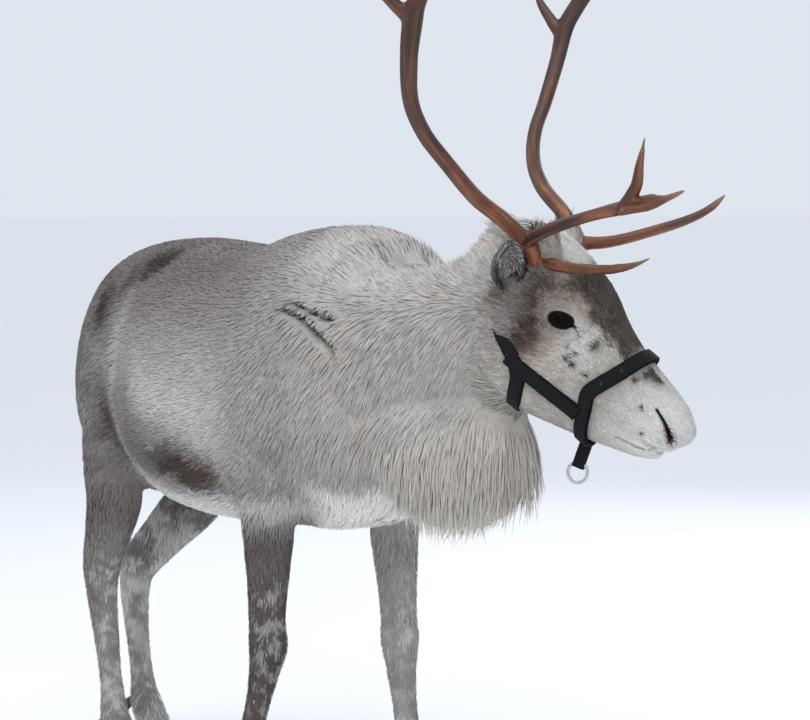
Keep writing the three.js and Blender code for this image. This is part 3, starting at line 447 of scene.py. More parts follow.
def laid_on(tree, line, count):
    """A line through the places, laid on the surface: its places and the surface's normals there."""
    found = [tree.find_nearest(Vector(q)) for q in spline(line, np.linspace(0, 1, count))]
    return np.array([f[0] for f in found]), np.array([f[1] for f in found])


def across_line(line, points):
    """Distance along a surface from a line laid on it, and the place along the line from 0 to 1."""
    spots, ways = line
    far, share = nearest_on(spots, points)
    at = share * (len(spots) - 1)
    low = np.minimum(at.astype(int), len(spots) - 2)
    f = (at - low)[:, None]
    gap = points - (spots[low] * (1 - f) + spots[low + 1] * f)
    way = unit(ways[low] * (1 - f) + ways[low + 1] * f)
    height = (gap * way).sum(1)
    along = np.sqrt(np.maximum((gap**2).sum(1) - height**2, 0))
    return np.where(np.abs(height) < 30, along, far), share


def eye_ways(hand):
    out = unit(head_way(0.2, hand, 0.06))
    front = unit(FACE - out * (FACE @ out))
    front = unit(front + CROWN * 0.42 - out * (0.42 * (CROWN @ out)))
    up = np.cross(front, out) * hand
    return on_head(EYE_AT[0], hand * EYE_AT[1], EYE_AT[2]), out, front, up


def nostril_line(hand):
    spots = [(342, 51, -14), (362, 49, -22), (382, 42, -34), (393, 34, -44)]
    return np.array([spline([on_head(x, hand * y, z) for x, y, z in spots], t)
                     for t in np.linspace(0, 1, 14)])


def mouth_line():
    u = np.linspace(-1, 1, 49)
    back, low = np.abs(u) ** 2.4, np.abs(u) ** 1.6
    return np.array([on_head(408 - 90 * b, 52 * k, -56 - 36 * d) for k, b, d in zip(u, back, low)])


def tree_of(points, faces):
    return BVHTree.FromPolygons([Vector(p) for p in points], [tuple(f) for f in faces])


def showing(tree, points, depth=2.0):
    """True where places lie outside the closed form, or no deeper in it than a root."""
    free = np.ones(len(points), bool)
    for i, place in enumerate(points):
        spot, way, _, _ = tree.find_nearest(Vector(place), 120)
        if spot is not None and (Vector(place) - spot).dot(way) < -depth:
            free[i] = False
    return free


def lid_reach(ahead, rise):
    """How far a place lies from the eye's middle, 1 at the edge of the lids."""
    return np.hypot(ahead / LID_WIDE, rise / np.where(rise > 0, LID_ABOVE, LID_BELOW))


def almond(turn, wide, above, below):
    s = np.sin(turn)
    point = 1 - 0.3 * np.abs(np.cos(turn)) ** 5
    return np.cos(turn) * wide, s * np.where(s > 0, above, below) * point


# Head skin: nostrils and lips pressed in, then a socket and lids round each eye
def with_features(points, normals):
    push = np.zeros(len(points))
    for hand in (-1, 1):
        far, share = across_line(NOSTRILS[hand], points)
        wide = 2.2 + 5.0 * share**2
        push -= (5 + 9 * share) * np.exp(-((far / wide) ** 2)) - 2.4 * np.exp(-(((far - 9) / 4) ** 2))
    far, share = across_line(MOUTH, points)
    corner = 1 - np.abs(share * 2 - 1) ** 3
    push -= 3.4 * corner * np.exp(-((far / 2.3) ** 2)) - 1.2 * corner * np.exp(-(((far - 7) / 4) ** 2))
    return points + normals * push[:, None]


def with_sockets(points):
    for hand in (-1, 1):
        centre, out, front, up = eye_ways(hand)
        local = points - centre
        x, y, h = local @ front, local @ up, local @ out
        rho = np.hypot(x / 21, y / 14)
        sink = smooth(2.3, 1.9, rho) * (h > 0)
        floor = np.sqrt(np.maximum(19.0**2 - x**2 - y**2, 0))
        points = points + out * (sink * (np.minimum(h, np.maximum(floor - 3, 8 - 3 * rho)) - h))[:, None]
    return points


def finer(points, faces, chosen):
    """Splits the chosen faces once more; returns places and faces of mixed size."""
    piece = new_mesh("splitting", points, faces)
    form = bmesh.new()
    form.from_mesh(piece.data)
    form.faces.ensure_lookup_table()
    edges = {e for i in np.nonzero(chosen)[0] for e in form.faces[int(i)].edges}
    bmesh.ops.subdivide_edges(form, edges=list(edges), cuts=1, use_grid_fill=True)
    form.verts.index_update()
    places = from_row([v.co for v in form.verts])
    sides = [tuple(v.index for v in f.verts) for f in form.faces]
    ways = np.array([v.normal for v in form.verts])
    form.free()
    mesh = piece.data
    bpy.data.objects.remove(piece)
    bpy.data.meshes.remove(mesh)
    return places, sides, ways


head_points, head_faces = fused(head_shell, HEAD_GRAIN)
head_points = relaxed(head_points, head_faces, 8)
middles = head_places(head_points[head_faces].mean(1))
fine_points, fine_faces, fine_ways = finer(head_points, head_faces,
                                           (middles[:, 0] > 318) & (middles[:, 2] < 0))
plain = tree_of(head_points, head_faces)
NOSTRILS = {h: laid_on(plain, nostril_line(h), 20) for h in (-1, 1)}
MOUTH = laid_on(plain, mouth_line(), 60)
head_points = with_features(head_points, normals_of(head_points, head_faces))
head_tree = tree_of(head_points, head_faces)
head_points = with_sockets(head_points)
fine_points = with_sockets(with_features(fine_points, fine_ways))
sockets = []
for hand in (-1, 1):
    centre, out, front, up = eye_ways(hand)
    rows = [(0.9, -0.4, 0), (1.0, 0.6, 0), (1.05, 1.8, 0), (1.12, 2.6, 0.05), (1.22, 2.8, 0.2),
            (1.33, 2.0, 0.4), (1.45, 0.4, 0.6),
            (1.6, 0.6, 0.75), (1.8, 1.6, 0.85), (2.05, 1.2, 1), (2.35, -0.2, 1), (2.6, -2.5, 1)]
    turns = np.arange(56) / 56 * math.tau
    grid = []
    for size, proud, blend in rows:
        ax, ay = almond(turns, LID_WIDE * (1 + (size - 1) * 0.85), LID_ABOVE * size, LID_BELOW * size)
        tear = np.exp(-(((turns + 0.15 + math.pi) % math.tau - math.pi) / 0.28) ** 2)
        ax, ay = ax + 5.0 * tear, ay - 2.5 * tear
        over = np.sqrt(np.maximum(23.0**2 - np.minimum(ax**2 + ay**2, 21.5**2), 0)) + proud
        row = centre + front * ax[:, None] + up * ay[:, None]
        line = []
        for k, spot in enumerate(row):
            hit = head_tree.ray_cast(Vector(spot + out * 90), Vector(-out), 140)[0]
            skin_height = (np.array(hit) - centre) @ out if hit is not None else over[k]
            line.append(spot + out * (over[k] * (1 - blend) + (skin_height + proud * 0.6) * blend))
        grid.append(line)
    points = np.array(grid).reshape(-1, 3)
    faces = []
    for j in range(len(rows) - 1):
        for k in range(56):
            n = (k + 1) % 56
            face = (j * 56 + k, (j + 1) * 56 + k, (j + 1) * 56 + n, j * 56 + n)
            faces.append(face if hand < 0 else face[::-1])
    sockets.append((points, faces))


# Ears: a thin cup on a narrow base
def ear_frame(hand):
    base, tip = on_head(46, hand * 76, -14), on_head(26, hand * 160, 54)
    way = unit(tip - base)
    facing = head_way(0.75, hand * 0.35, -0.1)
    facing = unit(facing - way * (facing @ way))
    return base, way, facing, np.cross(way, facing)


def ear_shell(hand):
    base, way, facing, across = ear_frame(hand)
    share = np.linspace(0, 1, 30)
    sizes = spline([(17, 17, 0, -0.12), (22, 19, 0, 0.1), (29, 20, 0, 0.32), (29, 17, 1, 0.56),
                    (20, 11, 3, 0.8), (5, 4, 7, 1)], share)
    bend = np.radians(np.linspace(-112, 112, 25))
    rows = []
    for wide, deep, shift, t in sizes:
        middle = base + way * t * EAR_LENGTH + facing * shift
        for thin in (0.0, 3.4 * min(1, (1.06 - t) * 3)):
            w, d = max(wide - 2.5 - thin, 0.6), max(deep - 2 - thin * 1.2, 0.5)
            forward = np.where(np.abs(bend) > math.pi / 2, d * 0.9, d)
            rows.append(middle + across * (np.sin(bend) * w)[:, None]
                        - facing * (np.cos(bend) * forward)[:, None])
    count = len(bend)
    points = np.array(rows).reshape(-1, 3)
    faces = []
    for i in range(len(sizes) - 1):
        a, b = 2 * i * count, 2 * (i + 1) * count
        for k in range(count - 1):
            faces.append((a + k, b + k, b + k + 1, a + k + 1))
            faces.append((a + count + k, a + count + k + 1, b + count + k + 1, b + count + k))
        faces.append((a, a + count, b + count, b))
        e = count - 1
        faces.append((a + e, b + e, b + count + e, a + count + e))
    for first, turned in ((0, False), (2 * (len(sizes) - 1) * count, True)):
        for k in range(count - 1):
            face = (first + k, first + k + 1, first + count + k + 1, first + count + k)
            faces.append(face[::-1] if turned else face)
    return points, faces


body_points, body_faces = fused(body_parts[:5] + body_parts[5 + len(head_parts(-6)):], BODY_GRAIN)
body_points = relaxed(body_points, body_faces, 14)

# Folds of the hide: [places, width, depth]
FOLDS = [
    ([(44, -179, 908), (94, -164, 887), (116, -159, 872), (163, -153, 838), (172, -152, 815)], 5.5, 16),
    ([(66, -167, 916), (113, -153, 898), (161, -142, 886)], 5, 14),
    ([(130, -34, 1010), (150, -40, 994), (174, -48, 979)], 7, 6),
    ([(40, -38, 530), (98, -28, 544), (160, -40, 556)], 6, 8),
    ([(-505, -200, 800), (-498, -217, 735), (-502, -206, 665), (-532, -175, 606)], 15, 7),
]
FOLDS += [([(x, -y, z) for x, y, z in line], wide, deep) for line, wide, deep in FOLDS[2:]]


skin_tree = tree_of(body_points, body_faces)
FOLDS = [(laid_on(skin_tree, line, 24), wide, deep) for line, wide, deep in FOLDS]


def fold_depth(points):
    """How far each place is pressed in by the folds, then how much it is in one and near one, from 0 to 1."""
    total, near, round_it = np.zeros((3, len(points)))
    for line, wide, deep in FOLDS:
        far, share = across_line(line, points)
        fade = np.minimum(1, np.minimum(share, 1 - share) * 5 + 0.25)
        total += fade * (deep * np.exp(-((far / wide) ** 2))
                         - deep * 0.3 * np.exp(-(((far - wide * 2.0) / wide) ** 2)))
        near = np.maximum(near, fade * np.exp(-((far / (wide * 0.7)) ** 2)) * min(1, deep / 14))
        round_it = np.maximum(round_it, np.exp(-((far / 30) ** 2)))
    return total, near, round_it


def short_of_folds(points, lie, length):
    """Hair that would lie across a fold is cut short, so the fold shows."""
    kept = length.copy()
    for share in np.arange(12, 0, -1) / 12:
        over = fold_depth(points + unit(lie) * (length * share)[:, None])[1] > 0.6
        kept = np.where(over, np.minimum(kept, length * share * 0.85), kept)
    return np.maximum(kept, 8)


pressed = fold_depth(body_points)[0]
body_ways = normals_of(body_points, body_faces)
unpressed = body_points
body_points = body_points - body_ways * pressed[:, None]


# Where each kind of coat grows
leg_paths = {name: spline([k[0] for k in leg["keys"]], np.linspace(0, 1, 40)) for name, leg in LEGS.items()}
leg_sizes = {name: spline([max(k[1:4]) for k in leg["keys"]], np.linspace(0, 1, 40))
             for name, leg in LEGS.items()}
tail_path = spline([k[0] for k in TAIL], np.linspace(0, 1, 20))
MANE_TOP = np.array([300.0, 10.0, 735.0])
MANE_WAY = unit([-0.3, -0.1, 1.0])


def shares(p):
    """How much each place belongs to head, neck, mane, legs and tail, from 0 to 1."""
    above = head_places(p)[:, 2]
    head = smooth(-14, 22, (p - HEAD_BASE) @ HEAD_BASE_WAY) * smooth(-196, -178, above)
    ahead = smooth(120, 215, p @ unit([1, 0.1, 0.12]) - 80 * unit([1, 0.1, 0.12])[2])
    low = smooth(30, -45, (p - MANE_TOP) @ MANE_WAY) * smooth(225, 290, p[:, 0] + 0.12 * (p[:, 2] - 600))
    leg = np.zeros(len(p))
    along = np.zeros(len(p))
    own = np.zeros(len(p), int)
    for i, (name, path) in enumerate(leg_paths.items()):
        far, share = nearest_on(path, p)
        near = (smooth(1.7, 1.15, far / np.interp(share, np.linspace(0, 1, 40), leg_sizes[name]))
                * smooth(640, 500, p[:, 2]))
        better = near > leg
        leg[better], along[better], own[better] = near[better], share[better], i
    far, share = nearest_on(tail_path, p)
    tail = smooth(50, 34, far) * (p[:, 0] < -800)
    head = head * (1 - leg)
    neck = ahead * (1 - head) * (1 - leg)
    mane = neck * low
    return dict(head=head, neck=neck - mane, mane=mane, leg=leg, along=along, own=own, tail=tail * (1 - leg))


def srgb(r, g, b):
    c = np.array([r, g, b]) / 255
    return np.where(c <= 0.04045, c / 12.92, ((c + 0.055) / 1.055) ** 2.4)


GREY_BROWN = srgb(118, 109, 105)
WARM_GREY = srgb(152, 146, 143)
# Dark of the smudges on back, croup and legs; also painted shade round the folds of the hide
SMUDGE_AND_SHADE = srgb(58, 49, 46)
PALE = srgb(196, 193, 190)
NECK_TONE = srgb(180, 176, 171)
THIGH = srgb(106, 97, 93)
CREAM = srgb(200, 193, 181)
WHITE = srgb(210, 208, 204)
BRIGHT = srgb(232, 230, 226)
DARK_FACE = srgb(62, 54, 49)
LEG_GREY = srgb(106, 98, 95)
CHESTNUT = srgb(84, 58, 44)
BUFF = srgb(168, 150, 136)
PINK = srgb(150, 104, 98)
# Dark bare skin of the lids and lips; also painted shade in the folds of the hide, the nostril slits and the
# mouth's crease
DARK_SKIN_AND_SHADE = srgb(40, 33, 30)


# Lines round each eye: the three buff arcs, two above the eye and one below and behind it, are painted shade
# under the brow and round the lid folds
EYE_MARKS_AND_SHADE = [
    ([(-38, 8), (-30, 24), (-8, 33), (16, 30), (34, 14)], 4.0, BUFF * 0.75, 0.6),
    ([(-34, 26), (-12, 42), (14, 40), (34, 26)], 3.0, BUFF * 0.8, 0.45),
    ([(-34, -18), (-22, -30), (-4, -36)], 6.0, BUFF * 0.7, 0.5),
    ([(-30, -4), (-24, -14), (-10, -20), (8, -20)], 3.0, GREY_BROWN, 0.35),
    ([(22, -5), (30, -10), (35, -20)], 2.2, DARK_SKIN_AND_SHADE, 0.95),
]


def coat_colour(p, s=None):
    """Markings of the coat at places in millimetres, as colours, with painted shade in the folds of the hide
    and round the eyes and painted light under the mane.
    """
    s = s or shares(p)
    x, y, z = p.T
    soft = clouds(p, 130, 1)
    mottle = clouds(p, 34, 5)
    fine = clouds(p, 12, 9, 2)
    colour = np.repeat(PALE[None], len(p), 0)

    def paint(tone, share):
        nonlocal colour
        share = np.clip(share, 0, 1)[:, None]
        colour = colour * (1 - share) + tone * share

    def on_leg(name):
        return s["leg"] * (s["own"] == list(LEGS).index(name))

    # Back and rump grey-brown, fading down the flank; belly cream
    warp = np.c_[x + mottle * 26, z + soft * 14 + fine * 6]
    paint(WARM_GREY, 0.8 * smooth(700, 850, z + soft * 40))
    paint(GREY_BROWN, 0.8 * smooth(800, 930, z + soft * 45 + mottle * 18) * smooth(80, -120, x))
    paint(PALE, 0.5 * bump_at(np.c_[x + fine * 10, z], (-478, 800), (16, 70)))
    rear = smooth(-498, -522, x + soft * 8 + fine * 6 + 0.1 * np.abs(z - 730)) * smooth(300, 420, z)
    paint(THIGH * 0.88, 0.92 * rear)
    paint(SMUDGE_AND_SHADE, 0.4 * rear * smooth(0.1, 0.5, mottle + 0.5 * fine))
    paint(SMUDGE_AND_SHADE, 0.7 * bump_at(np.c_[x + fine * 6, z], (-530, 690), (16, 80)))
    paint(WARM_GREY, 0.35 * rear * smooth(0.1, -0.4, mottle + 0.5 * fine))
    paint(WARM_GREY, 0.35 * rear * np.maximum(smooth(770, 850, z), smooth(650, 560, z)))
    paint(WARM_GREY, 0.7 * smooth(960, 1010, z) * smooth(150, 50, x))
    paint(GREY_BROWN, 0.2 * smooth(970, 1010, z) * smooth(130, 60, x))
    paint(GREY_BROWN, 0.85 * bump_at(warp, (160, 785), (58, 100)))
    paint(SMUDGE_AND_SHADE, 0.22 * smooth(900, 960, z) * smooth(-80, -220, x))
    paint(WARM_GREY, 0.75 * bump_at(warp, (20, 700), (75, 130)))
    paint(GREY_BROWN, 0.55 * bump_at(warp, (10, 610), (70, 70)))
    paint(BRIGHT, 0.9 * smooth(596, 560, z + soft * 10 + mottle * 8) * smooth(-560, -480, x))
    paint(CREAM, 0.7 * smooth(660, 600, z) * smooth(60, 130, x + mottle * 20))
    paint(GREY_BROWN, 0.8 * np.clip(1.6 * bump_at(warp, (-330, 642), (112, 42)), 0, 1) * (1 - rear))
    paint(GREY_BROWN, 0.8 * np.clip(1.5 * bump_at(warp, (-440, 688), (48, 66)), 0, 1) * (1 - rear))
    paint(SMUDGE_AND_SHADE, 0.45 * bump_at(warp, (-330, 630), (90, 24)))
    paint(SMUDGE_AND_SHADE, 0.95 * np.clip(1.6 * bump_at(warp, (-232, 610), (68, 24)), 0, 1))
    paint(CHESTNUT * 0.6 + SMUDGE_AND_SHADE * 0.6, 0.75 * bump_at(warp, (-165, 608), (46, 19)))
    paint(SMUDGE_AND_SHADE, np.clip(
        1.5 * bump_at(np.c_[x + mottle * 26, z + fine * 12], (-459, 963), (24, 20)), 0, 0.95))
    paint(SMUDGE_AND_SHADE, np.clip(
        1.3 * bump_at(np.c_[x + mottle * 26, z + fine * 12], (-585, 884), (20, 24)), 0, 0.9))
    paint(SMUDGE_AND_SHADE, 0.7 * bump_at(np.c_[x + mottle * 26, z + fine * 12], (-525, 934), (18, 22)))
    paint(SMUDGE_AND_SHADE, 0.45 * bump_at(np.c_[x + mottle * 30, z + fine * 12], (-660, 930), (30, 22)))
    paint(SMUDGE_AND_SHADE, 0.4 * smooth(0.15, 0.6, mottle + 0.4 * fine) * smooth(930, 985, z) * smooth(60, -60, x))
    paint(BUFF, 0.4 * smooth(0.0, 0.5, mottle + soft * 0.4) * smooth(960, 1010, z) * smooth(-160, -40, x))
    paint(PALE, 0.35 * smooth(0.1, 0.5, soft + 0.5 * mottle) * smooth(900, 780, z))
    # Neck and mane pale, with soft streaks
    paint(WARM_GREY, 0.45 * bump_at(np.c_[x, z], (110, 780), (110, 130)) * (1 - s["neck"]))
    paint(NECK_TONE, 0.85 * s["neck"])
    paint(PALE, 0.6 * s["neck"] * smooth(900, 970, z))
    paint(BUFF, 0.4 * s["neck"] * smooth(-0.05, 0.5, mottle + 0.3 * fine))
    paint(WARM_GREY, 0.45 * s["neck"] * smooth(0.0, -0.5, mottle + 0.5 * fine))
    paint(CREAM, 0.9 * s["mane"])
    paint(WARM_GREY, 0.3 * s["mane"] * smooth(620, 690, z))
    # Painted light: the lowest hair of the mane made near white, standing in for light from below
    paint(srgb(246, 244, 238), 0.85 * s["mane"] * smooth(650, 540, z))
    paint(BUFF, 0.35 * s["mane"] * smooth(0.05, 0.5, mottle))
    chest = smooth(40, 110, x) * smooth(640, 596, z + soft * 14) * (1 - s["mane"]) * (1 - s["leg"])
    paint(BRIGHT, 0.9 * chest)
    paint(WARM_GREY, 0.7 * bump_at(np.c_[x, z + fine * 10], (190, 628), (70, 14)) * (1 - s["mane"]))
    # Legs grey with frosted patches
    axes = np.zeros(len(p))
    for i, path in enumerate(leg_paths.values()):
        axes = np.where(s["own"] == i, spline(path[:, 0], s["along"]), axes)
    frost = smooth(0.1, 0.3, 0.45 * mottle + 0.9 * fine) * (0.25 + 0.75 * smooth(-4, 14, x - axes))
    paint(LEG_GREY, s["leg"] * (1 - 0.25 * (s["own"] >= 2)))
    paint(WARM_GREY, 0.9 * on_leg("front_left"))
    paint(WARM_GREY, 0.5 * s["leg"] * (s["own"] >= 2) * smooth(520, 430, z))
    paint(SMUDGE_AND_SHADE, 0.35 * s["leg"] * smooth(-0.05, -0.5, mottle + 0.4 * fine))
    paint(PALE, 0.75 * s["leg"] * frost * smooth(450, 390, z + soft * 60))
    paint(WARM_GREY, 0.6 * s["leg"] * (s["own"] >= 2) * smooth(330, 240, z))
    paint(PALE, 0.5 * s["leg"] * smooth(0.0, 0.35, fine) * (s["own"] >= 2) * smooth(360, 280, z))
    paint(PALE, 0.65 * on_leg("hind_left") * smooth(-0.3, 0.3, mottle + 0.5 * fine))
    paint(PALE, 0.25 * on_leg("front_left"))
    paint(SMUDGE_AND_SHADE, on_leg("front_right") * (0.15 + 0.25 * smooth(430, 340, z)))
    paint(CREAM, 0.8 * s["tail"])
    # Painted shade in and round the folds of the hide: a dark halo along each fold and a darker slit inside
    # it
    paint(SMUDGE_AND_SHADE, 0.5 * smooth(0.02, 0.6, fold_depth(p)[1] - 0.57 * (x < -400)) * (1 - s["mane"]))
    paint(DARK_SKIN_AND_SHADE, 0.9 * smooth(0.45, 0.9, fold_depth(p)[1]) * (1 - s["mane"]))
    # Head
    h = head_places(p)
    hx, hy, hz = h.T
    side = np.abs(hy)
    head = s["head"]
    outside = smooth(24, 40, side)
    face = np.c_[hx + mottle * 9 + fine * 5, hz + fine * 6]
    paint(srgb(172, 166, 157), head)
    paint(WHITE, 0.75 * head * smooth(255, 330, hx))
    paint(BRIGHT, 0.6 * head * smooth(320, 375, hx))
    paint(WARM_GREY, 0.5 * head * smooth(0.0, 0.5, mottle + 0.5 * fine) * smooth(260, 160, hx))
    edge = np.interp(hx, [60, 110, 150, 200, 250, 300], [70, 73, 64, 54, 43, 34])
    bridge = smooth(6, -6, side + fine * 7 + mottle * 5 - edge) * smooth(14, 34, hz + 0.14 * (hx - 60))
    paint(WARM_GREY, 0.8 * head * bump_at(face, (74, -70), (26, 40)) * outside)
    paint(BUFF, 0.55 * head * bump_at(face, (150, -62), (34, 20)) * outside)
    paint(GREY_BROWN, 0.6 * head * bump_at(face, (112, 30), (26, 12)) * outside)
    paint(WHITE, 0.55 * head * bump_at(face, (190, -12), (24, 34)) * outside)
    paint(DARK_FACE, 0.95 * head * bridge * smooth(268, 250, hx + fine * 8)
          * smooth(96, 120, hx + mottle * 12))
    paint(GREY_BROWN, 0.85 * head * np.clip(1.5 * bump_at(face, (76, -14), (24, 40)), 0, 1) * outside)
    paint(DARK_FACE, 0.97 * head * np.clip(1.7 * bump_at(face, (115, -52), (18, 25)), 0, 1) * outside)
    paint(CHESTNUT, 0.5 * head * bump_at(face, (139, -57), (9, 14)) * outside)
    paint(DARK_FACE, 0.85 * head * bump_at(face, (86, 2), (13, 26)) * outside)
    paint(DARK_FACE, 0.75 * head * bump_at(face, (98, 26), (22, 9)) * outside)
    crest = np.maximum(head, s["neck"])
    paint(DARK_FACE, 0.75 * crest * bump_at(face, (34, -42), (15, 24)) * outside)
    for hand in (-1, 1):
        centre, out, front, up = eye_ways(hand)
        local = p - centre
        u, v = local @ front, local @ up
        by_eye = head * (np.abs(local @ out) < 34) * (np.hypot(u, v) < 70)
        # The buff arcs among these lines are painted shade under the brow and round the lid folds
        for line, wide, tone, share in EYE_MARKS_AND_SHADE:
            far, _ = nearest_on(np.c_[np.array(line, float), np.zeros(len(line))], np.c_[u, v, 0 * u])
            paint(tone, share * by_eye * np.exp(-((far / wide) ** 2)))
    spots = [(209, -1, 6), (188, -42, 3.4), (201, -44, 3.8), (225, -46, 3), (294, 15, 7), (311, 18, 7),
             (321, -30, 3), (346, -61, 2.5),
             (176, -26, 3), (286, -4, 4), (192, -30, 3), (300, 26, 6)]
    for sx, sz, size in spots:
        paint(DARK_FACE, np.clip(1.3 * bump_at(np.c_[hx + fine * 4, hz + fine * 4], (sx, sz),
                                               (size, size)), 0, 0.95) * head * (side > 14))
    paint(WHITE, 0.9 * np.maximum(head, s["neck"]) * smooth(128, 100, hx + fine * 6)
          * smooth(40, 58, hz) * smooth(50, 36, side))
    paint(DARK_FACE, 0.8 * head * bump_at(np.c_[hx + fine * 8, side, hz], (66, 62, 36), (20, 14, 16)))
    # Fine streaks along the hair
    along, across = x * 0.87 + z * 0.5, z * 0.87 - x * 0.5
    body_streak = clouds(np.c_[along * 0.16, across, y * 0.5], 9, 41, 2) * (1 - head)
    face_streak = clouds(np.c_[hx * 0.3, hy, hz], 4.5, 47, 2) * head
    dark = np.clip(1 - colour[:, 1] / PALE[1], 0, 1)
    return colour * (1 + 0.05 * fine + 0.05 * mottle + 0.12 * body_streak
                     + face_streak * (0.08 + 0.45 * dark))[:, None]


# Shader writing
class Wire:
    """A socket or a number that adds Math nodes when it is reckoned with."""

    def __init__(self, sheet, socket):
        self.sheet, self.socket = sheet, socket

    def reckon(self, kind, a, b):
        return self.sheet.node("ShaderNodeMath", dict(operation=kind), {0: a, 1: b})

    def __add__(self, other):
        return self.reckon("ADD", self, other)

    def __sub__(self, other):
        return self.reckon("SUBTRACT", self, other)

    def __mul__(self, other):
        return self.reckon("MULTIPLY", self, other)

    def __truediv__(self, other):
        return self.reckon("DIVIDE", self, other)

    def __pow__(self, other):
        return self.reckon("POWER", self, other)

    def __rsub__(self, other):
        return self.reckon("SUBTRACT", other, self)

    def __rtruediv__(self, other):
        return self.reckon("DIVIDE", other, self)

    __radd__ = __add__
    __rmul__ = __mul__


class Sheet:
    """A material's node tree."""

    def __init__(self, name, **fixed):
        self.material = bpy.data.materials.new(name)
        self.material.use_nodes = True
        self.tree = self.material.node_tree
        self.shader = self.tree.nodes["Principled BSDF"]
        for key, value in fixed.items():
            self.shader.inputs[key.replace("_", " ")].default_value = value
        self.places = Wire(self, self.tree.nodes.new("ShaderNodeTexCoord").outputs["Object"])

    def node(self, kind, settings=None, values=None, out=0):
        made_node = self.tree.nodes.new(kind)
        for key, value in (settings or {}).items():
            if key == "stops":
                ramp = made_node.color_ramp.elements
                while len(ramp) < len(value):
                    ramp.new(0.5)
                for stop, (place, tone) in zip(ramp, value):
                    stop.position, stop.color = place, (*tone, 1) if np.ndim(tone) else (tone, tone, tone, 1)
            else:
                setattr(made_node, key, value)
        for key, value in (values or {}).items():
            socket = made_node.inputs[key]
            if isinstance(value, Wire):
                self.tree.links.new(value.socket, socket)
            else:
                socket.default_value = value
        return Wire(self, made_node.outputs[out])

    def noise(self, places, scale, detail=3.0, rough=0.55):
        return self.node("ShaderNodeTexNoise", None,
                         {"Vector": places, "Scale": scale, "Detail": detail, "Roughness": rough})

    def stretched(self, places, x, y, z):
        return self.node("ShaderNodeMapping", None, {"Vector": places, "Scale": (x, y, z)})

    def ramp(self, value, *stops):
        return self.node("ShaderNodeValToRGB", dict(stops=stops), {"Fac": value})

    def mixed(self, share, a, b, kind="MIX"):
        return self.node("ShaderNodeMix", dict(data_type="RGBA", blend_type=kind),
                         {0: share, 6: self.tone(a), 7: self.tone(b)}, 2)

    def tone(self, value):
        return value if isinstance(value, Wire) else (*value, 1)

    def attribute(self, name, out="Color"):
        return self.node("ShaderNodeAttribute", dict(attribute_name=name), None, out)

    def bump(self, height, strength, distance):
        return self.node("ShaderNodeBump", None,
                         {"Height": height, "Strength": strength, "Distance": distance})

    def plug(self, **links):
        for key, value in links.items():
            self.tree.links.new(value.socket, self.shader.inputs[key.replace("_", " ")])
        return self.material


def coat_material():
    s = Sheet("coat hair", Roughness=0.75, Specular_IOR_Level=0.12)
    strands = s.noise(s.attribute("fibre", "Vector"), 1500.0, 2.0)
    tone = s.mixed(1.0, s.attribute("coat_colour"), s.ramp(strands, (0.3, 0.82), (0.5, 0.98), (0.7, 1.1)),
                   "MULTIPLY")
    return s.plug(Base_Color=tone, Normal=s.bump(strands, 0.5, 0.0005))


def skin_material():
    s = Sheet("short hair on skin", Roughness=0.85, Specular_IOR_Level=0.12)
    strands = s.noise(s.stretched(s.places, 1, 1, 0.35), 1100.0, 3.0)
    lumps = s.noise(s.places, 160.0, 2.0)
    tone = s.mixed(1.0, s.attribute("coat_colour"), s.ramp(strands, (0.3, 0.78), (0.7, 1.15)), "MULTIPLY")
    return s.plug(Base_Color=tone, Normal=s.bump(strands * 0.7 + lumps * 0.5, 0.5, 0.0012))


def antler_material():
    s = Sheet("antler", Roughness=0.4, Specular_IOR_Level=0.5)
    grain = s.attribute("grain", "Vector")
    long_grain = s.noise(s.stretched(grain, 1, 1, 0.06), 260.0, 4.0)
    furrows = s.noise(s.stretched(grain, 1, 1, 0.03), 90.0, 3.0)
    patches = s.noise(s.places, 14.0, 4.0)
    wear = s.attribute("wear", "Fac")
    tone = s.ramp(furrows * 0.6 + long_grain * 0.4 + patches * 0.3 - 0.15,
                  (0.34, srgb(24, 14, 10)), (0.45, srgb(74, 38, 21)), (0.56, srgb(124, 68, 36)),
                  (0.70, srgb(176, 116, 72)))
    high = s.node("ShaderNodeSeparateXYZ", None, {"Vector": s.places}, out=2)
    tone = s.mixed(1.0, tone, s.ramp(high * 0.5, (0.5, 1.0), (0.62, 0.42)), "MULTIPLY")
    tone = s.mixed(wear, tone, srgb(176, 138, 104))
    height = furrows * 0.8 + long_grain * 0.4
    return s.plug(Base_Color=tone, Roughness=0.28 + long_grain * 0.3, Normal=s.bump(height, 1.0, 0.0022))


def hoof_material():
    s = Sheet("hoof horn", Roughness=0.45)
    bands = s.noise(s.stretched(s.places, 30, 30, 260), 1.0, 3.0)
    specks = s.noise(s.places, 300.0, 3.0)
    tone = s.ramp(bands * 0.6 + specks * 0.4, (0.3, srgb(26, 22, 20)), (0.55, srgb(52, 44, 38)),
                  (0.8, srgb(92, 82, 70)))
    return s.plug(Base_Color=tone, Roughness=0.35 + specks * 0.3,
                  Normal=s.bump(bands + specks * 0.4, 0.5, 0.0008))


def eye_material():
    s = Sheet("eye", Roughness=0.04, IOR=1.13, Specular_IOR_Level=0.5)
    rays = s.noise(s.attribute("grain", "Vector"), 24.0, 3.0)
    rim = s.attribute("wear", "Fac")
    iris = s.mixed(rays, srgb(10, 7, 6), srgb(26, 17, 12))
    return s.plug(Base_Color=s.mixed(rim, srgb(5, 5, 6), iris))


